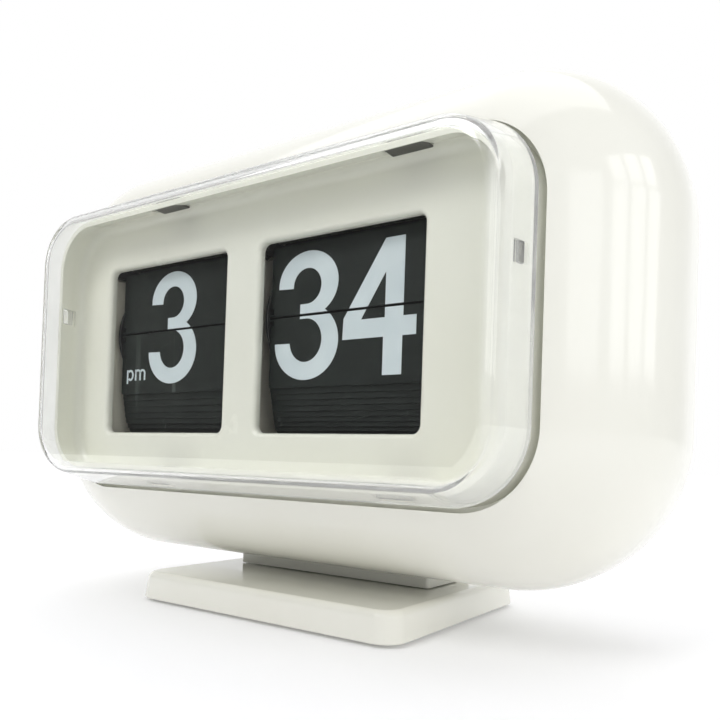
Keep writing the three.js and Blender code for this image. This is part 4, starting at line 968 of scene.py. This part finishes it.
def half_print(name, prints, side, upper, face_y, body, behind=False):
    """The half of some digits that lies on one card; behind puts it on the back, for when it falls."""
    (upper_low, upper_high), (lower_low, lower_high) = FLAP[side]
    low, high = (upper_low.z, upper_high.z) if upper else (lower_low.z, lower_high.z)
    work = bmesh.new()
    for loops, x, rise in prints:
        mesh = flat_shape(loops)
        part = bmesh.new()
        part.from_mesh(mesh)
        bmesh.ops.transform(part, verts=part.verts, matrix=Matrix.Translation((x, rise, 0)))
        for level, direction in ((low + 0.05 - SPLIT_Z, 1), (high - 0.05 - SPLIT_Z, -1)):
            geometry = part.verts[:] + part.edges[:] + part.faces[:]
            bmesh.ops.bisect_plane(part, geom=geometry, plane_co=(0, level, 0),
                                   plane_no=(0, direction, 0), clear_inner=True, dist=1e-5)
        part.to_mesh(mesh)
        part.free()
        work.from_mesh(mesh)
    if not work.faces:
        work.free()
        return None
    bmesh.ops.remove_doubles(work, verts=work.verts, dist=1e-4)
    bmesh.ops.dissolve_limit(work, angle_limit=math.radians(0.5), verts=work.verts, edges=work.edges)
    thick = bmesh.ops.extrude_face_region(work, geom=work.faces[:])
    moved = [v for v in thick["geom"] if isinstance(v, bmesh.types.BMVert)]
    bmesh.ops.translate(work, verts=moved, vec=(0, 0, INK_THICKNESS))
    for vert in work.verts:
        x, z, out = vert.co
        if behind:
            vert.co = Vector((CENTRE_X[side] + x, face_y + out, SPLIT_Z - z)) * MM
        else:
            vert.co = Vector((CENTRE_X[side] + x, face_y - out, SPLIT_Z + z)) * MM
    bmesh.ops.recalc_face_normals(work, faces=work.faces)
    mesh = bpy.data.meshes.new(name)
    work.to_mesh(mesh)
    work.free()
    return finish_piece(placed(name, mesh), INK, body)


def make_digits():
    minute_now = [(GLYPHS["3"](), TENS_X, 0), (GLYPHS["4"](), UNITS_X, 0)]
    minute_next = [(GLYPHS["3"](), TENS_X, 0), (GLYPHS["5"](), UNITS_X, 0)]
    pm = [([loop], PM_X, PM_Z) for loop in glyph_pm()]
    hour_now = [(GLYPHS["3"](), HOUR_DIGIT_X, HOUR_DIGIT_RISE), *pm]
    hour_next = [(GLYPHS["4"](), HOUR_DIGIT_X, HOUR_DIGIT_RISE), *pm]
    front_y = FLAP_MIDDLE_Y - FRONT_CARD_THICKNESS / 2
    back_y = FLAP_MIDDLE_Y + FRONT_CARD_THICKNESS / 2
    next_y = NEXT_CARD_Y - CARD_THICKNESS / 2
    for side, now, following in (("hour", hour_now, hour_next), ("minute", minute_now, minute_next)):
        half_print(f"{side}_upper_print", now, side, True, front_y, f"{side}_flap")
        half_print(f"{side}_lower_print", now, side, False, front_y, "case")
        half_print(f"{side}_next_upper_print", following, side, True, next_y, "case")
        half_print(f"{side}_next_lower_print", following, side, False, back_y, f"{side}_flap", True)


# ------------------------------------------------------------------ movement

DISC_WEB = 0.9
DISC_HOLES = 6


def make_discs():
    """Thin drum discs with a bore and a circle of lightening holes."""
    for side in SIDES:
        for end in ("left", "right"):
            low, high = node_box(f"{side}_drum_{end}_disc")
            centre = (0, (low.y + high.y) / 2, (low.z + high.z) / 2)
            radius = (high.y - low.y) / 2 - 0.3
            edge = 0.2
            start, stop = (high.x - DISC_WEB, high.x) if end == "left" else (low.x, low.x + DISC_WEB)
            profile = [(start, radius - edge), (start + edge, radius), (stop - edge, radius),
                       (stop, radius - edge)]
            disc = turned(f"{side}_{end}_disc", profile, centre, "x", 96)
            tools = [turned("bore", [(low.x - 1, 1.8), (high.x + 1, 1.8)], centre, "x", 32)]
            for k in range(DISC_HOLES):
                angle = math.radians(360 / DISC_HOLES * k + 15)
                spot = (0, centre[1] + 10 * math.cos(angle), centre[2] + 10 * math.sin(angle))
                tools.append(turned("hole", [(low.x - 1, 2.2), (high.x + 1, 2.2)], spot, "x", 32))
            cut(disc, gather("holes", tools))
            finish_piece(disc, DARK, f"{side}_drum", [f"{side}_drum_{end}_disc"])


def make_stops():
    """The small finger that holds back each upper card, on its arm from the frame plate."""
    for side in SIDES:
        low, high = node_box(f"{side}_flap_stop")
        hook_width = 2.4
        reach = 3.6
        height = 2.4
        hook = slab("hook", (high.x - hook_width, low.y, low.z), (high.x, low.y + reach, high.z), 0.3)
        arm = slab("arm", (low.x, low.y + reach / 2, high.z - height), (high.x, high.y, high.z), 0.3)
        join(hook, arm)
        hook.name = f"{side}_stop_finger"
        finish_piece(hook, DARK, "case", [f"{side}_flap_stop"])


def make_setting_wheel():
    """Knurled wheel at the back, on the axle and gear of the setting train."""
    middle_x = SETTING[1].x - SETTING_WHEEL_THICKNESS / 2
    ridges = 30
    per_ridge = 12
    count = ridges * per_ridge
    verts = []
    side = SETTING_WHEEL_THICKNESS / 2
    layers = [(-side, 1.2), (-side + 0.25, 0.5), (-side + 0.8, 0.0),
              (side - 0.8, 0.0), (side - 0.25, 0.5), (side, 1.2)]
    for along, shrink in layers:
        for k in range(count):
            angle = 2 * math.pi * k / count
            wave = 0.5 - 0.5 * math.cos(ridges * angle)
            radius = SETTING_RADIUS - 0.02 - shrink - 0.9 * wave ** 1.5
            verts.append((middle_x + along, SETTING_Y + radius * math.cos(angle),
                          SPLIT_Z + radius * math.sin(angle)))
    wheel = stacked("setting_wheel_rim", verts, count)
    axle = turned("axle", [(SETTING[0].x, 1.0), (middle_x, 1.0)], (0, SETTING_Y, SPLIT_Z), "x", 32)
    gear = spur("gear", SETTING_TEETH, GEAR_MODULE, SETTING[0].x, SETTING[0].x + SETTING_GEAR_FACE)
    join(wheel, axle, gear)
    finish_piece(wheel, KNURL, "setting_wheel", ["time_setting_wheel"])


def spur(name, teeth, module, x0, x1):
    """Toothed wheel on the setting axis."""
    pitch_radius = teeth * module / 2
    root = pitch_radius - 1.05 * module
    tip = pitch_radius + 0.75 * module
    outline = []
    for i in range(teeth):
        for share, radius in ((-0.27, root), (-0.12, tip), (0.12, tip), (0.27, root)):
            angle = 2 * math.pi * (i + share + 0.5) / teeth
            outline.append((SETTING_Y + radius * math.cos(angle), SPLIT_Z + radius * math.sin(angle)))
    return stacked(name, [(x, y, z) for x in (x0, x1) for y, z in outline], len(outline))


def make_screws():
    """Housing screws: pan heads with a cross recess."""
    for level in ("top", "bottom"):
        for side in ("left", "right"):
            name = f"housing_screw_{level}_{side}"
            low, high = box = node_box(name)
            centre = Vector((mid(box)[0], 0, mid(box)[2]))
            radius = half(box)[0]
            seat = high.y - HEAD_THICKNESS
            profile = [(low.y, 0.6), (low.y + 1, 1.4), (seat, 1.4), (seat, radius),
                       (high.y - 0.7, radius), (high.y - 0.25, radius - 0.35), (high.y, radius - 1.1)]
            screw = turned(f"{name}_pan", profile, centre, "y", 48)
            cross_cut(screw, centre, high.y)
            finish_piece(screw, STEEL, "case", [name])


def cross_cut(screw, centre, top_y):
    for long_side, short_side in ((1.5, 0.3), (0.3, 1.5)):
        slot = slab("cross", (centre.x - long_side, top_y - 1.0, centre.z - short_side),
                    (centre.x + long_side, top_y + 1, centre.z + short_side))
        cut(screw, slot)


def make_battery():
    """D cell: rolled ends, a steel cap with its nub, and a printed jacket."""
    low, high = node_box("battery_cell")
    centre = (0, (low.y + high.y) / 2, (low.z + high.z) / 2)
    radius = (high.y - low.y) / 2
    nub = 1.5
    x0 = low.x + nub
    can = [(x0, 4.5), (x0, radius - 1.6), (x0 + 0.4, radius - 0.9), (x0 + 1.2, radius - 0.5),
           (x0 + 1.6, radius - 0.2), (x0 + 2.4, radius), (high.x - 2.2, radius), (high.x - 1.2, radius - 0.3),
           (high.x - 0.4, radius - 0.9), (high.x, radius - 1.8), (high.x, 3.0)]
    cell = turned("battery_can", can, centre, "x", 96)
    crown = [(low.x, 3.6), (low.x + 0.25, 4.3), (x0 - 0.2, 4.5), (x0 - 0.05, 4.7)]
    cap = turned("battery_cap", crown, centre, "x", 64)
    finish_piece(cell, JACKET, "case", ["battery_cell"])
    finish_piece(cap, STEEL, "case")


CARRIED = (
    (GEAR_WHITE, "hour_wheel minute_wheel transfer_arbor setting_idler"),
    (BRASS, "minute_pinion motor_pinion"),
    (NYLON, "left_frame_plate middle_frame_plate right_frame_plate battery_trough"),
    (DARK, "motor hour_drum_hub minute_drum_hub"),
    (STEEL, "drum_shaft tie_rod_top tie_rod_back tie_rod_bottom positive_contact "
            "negative_contact_spring stand_screw_left stand_screw_right"),
    (BOARD, "circuit_board"),
)


def dress_carried_nodes():
    """Materials for the CAD nodes that stay as they are."""
    for material, names in CARRIED:
        for name in names.split():
            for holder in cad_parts[name].material_slots:
                holder.material = material


# ------------------------------------------------------------------ studio

CAMERA_PLACE = Vector((132.28, -172.64, 44.14)) * MM
CAMERA_YAW = math.radians(34.0)
CAMERA_PITCH = math.radians(0.94)
CAMERA_ROLL = math.radians(1.96)
FLOOR_NEAR = 0.25  # beyond this the paper floor fades into the white background
FLOOR_FAR = 0.6
FLOOR_GLOW = 0.11  # light that the bright paper adds near the clock
WORLD_BASE = 0.56
WORLD_BACK = 0.5  # added behind the clock
WORLD_DIM = 0.46  # taken away where the cover's front mirrors the room
LOOK_AT = (0, 0, 0.08)


def make_camera():
    data = bpy.data.cameras.new("camera")
    data.lens = 35.25
    data.sensor_width = 36
    data.shift_x = -0.006
    data.shift_y = 0.127
    data.clip_start = 0.01
    data.clip_end = 50
    camera = placed("camera", data)
    right = Vector((math.cos(CAMERA_YAW), math.sin(CAMERA_YAW), 0))
    forward = Vector((-math.sin(CAMERA_YAW) * math.cos(CAMERA_PITCH),
                      math.cos(CAMERA_YAW) * math.cos(CAMERA_PITCH), math.sin(CAMERA_PITCH)))
    up = right.cross(forward)
    rolled_right = right * math.cos(CAMERA_ROLL) + up * math.sin(CAMERA_ROLL)
    rolled_up = -right * math.sin(CAMERA_ROLL) + up * math.cos(CAMERA_ROLL)
    turn = Matrix((rolled_right, rolled_up, -forward)).transposed()
    camera.matrix_world = Matrix.Translation(CAMERA_PLACE) @ turn.to_4x4()
    bpy.context.scene.camera = camera


def add_area(name, place, aim, width, height, watts):
    data = bpy.data.lights.new(name, "AREA")
    data.shape = "RECTANGLE"
    data.size = width
    data.size_y = height
    data.energy = watts
    light = placed(name, data)
    light.location = place
    light.rotation_euler = (Vector(aim) - Vector(place)).to_track_quat("-Z", "Y").to_euler()


def make_floor():
    half = 20.0
    z = cad_box[0][2] - 0.0001
    floor = make("floor", [(-half, -half, z), (half, -half, z), (half, half, z), (-half, half, z)],
                 [(0, 1, 2, 3)], 1)
    made = Finish("floor_paper", Roughness=0.7, Specular_IOR_Level=0.2)
    length = made.node("ShaderNodeVectorMath", operation="LENGTH")
    made.link(made.place, length.inputs[0])
    far = made.span(length.outputs["Value"], FLOOR_NEAR, FLOOR_FAR, 0, 1)
    paper = made.blend(made.span(made.noise(3, 3), 0.3, 0.7, 0, 1), srgb(246, 246, 248), srgb(242, 242, 244))
    made.colour(made.blend(far, paper, (0.0, 0.0, 0.0, 1.0)))
    made.shader.inputs["Emission Color"].default_value = (1.0, 1.0, 1.0, 1.0)
    made.link(made.span(far, 0, 1, FLOOR_GLOW, 1), made.shader.inputs["Emission Strength"])
    floor.data.materials.append(made.material)


def make_world():
    """Surroundings, brightest behind the clock and dim in front of it; the camera itself sees white."""
    world = bpy.data.worlds.new("studio")
    bpy.context.scene.world = world
    world.use_nodes = True
    nodes = world.node_tree.nodes
    links = world.node_tree.links
    background = nodes["Background"]
    direction = nodes.new("ShaderNodeTexCoord").outputs["Generated"]

    def lobe(towards, inner, outer, amount):
        """Amount in a soft round patch of sky around a direction."""
        dot = nodes.new("ShaderNodeVectorMath")
        dot.operation = "DOT_PRODUCT"
        links.new(direction, dot.inputs[0])
        dot.inputs[1].default_value = Vector(towards).normalized()
        fade = nodes.new("ShaderNodeMapRange")
        fade.interpolation_type = "SMOOTHSTEP"
        fade.inputs["From Min"].default_value = math.cos(math.radians(outer))
        fade.inputs["From Max"].default_value = math.cos(math.radians(inner))
        fade.inputs["To Max"].default_value = amount
        links.new(dot.outputs["Value"], fade.inputs["Value"])
        return fade.outputs["Result"]

    strength = nodes.new("ShaderNodeMath")
    strength.operation = "ADD"
    strength.inputs[0].default_value = WORLD_BASE
    links.new(lobe((-0.56, 0.83, 0.1), 40, 75, WORLD_BACK), strength.inputs[1])
    dimmed = nodes.new("ShaderNodeMath")
    dimmed.operation = "ADD"
    links.new(strength.outputs[0], dimmed.inputs[0])
    links.new(lobe((-0.56, -0.83, 0.0), 18, 42, -WORLD_DIM), dimmed.inputs[1])
    seen = nodes.new("ShaderNodeMix")
    links.new(nodes.new("ShaderNodeLightPath").outputs["Is Camera Ray"], seen.inputs["Factor"])
    links.new(dimmed.outputs[0], seen.inputs["A"])
    seen.inputs["B"].default_value = 1.0
    links.new(seen.outputs["Result"], background.inputs["Strength"])
    background.inputs["Color"].default_value = (1.0, 1.0, 1.0, 1.0)


def make_lights():
    """A window of six panes on the right, and soft lamps above, in front and to the front right."""
    for column in (-1, 0, 1):
        for row in (0, 1):
            y = 0.1 + 0.36 * column
            add_area("window_pane", (1.45, y, 0.45 + 0.5 * row), (0, y, 0.1), 0.28, 0.42, 0.72)
    add_area("top_light", (-0.2, 0.1, 1.6), LOOK_AT, 1.6, 1.6, 8)
    add_area("front_light", (-0.3, -1.2, 1.3), LOOK_AT, 0.8, 0.6, 8)
    add_area("right_light", (1.25, -0.85, 0.55), LOOK_AT, 0.6, 0.6, 1.4)


def set_view():
    bpy.context.scene.view_settings.view_transform = "Standard"
    bpy.context.scene.view_settings.look = "None"
    bpy.context.scene.view_settings.exposure = 0.0


make_front_housing()
make_rear_housing()
make_battery_door()
make_cover()
make_tray()
make_stand()
for drum_side in SIDES:
    make_cards(drum_side)
make_digits()
make_discs()
make_stops()
make_setting_wheel()
make_screws()
make_battery()
dress_carried_nodes()
make_floor()
make_world()
make_lights()
make_camera()
set_view()
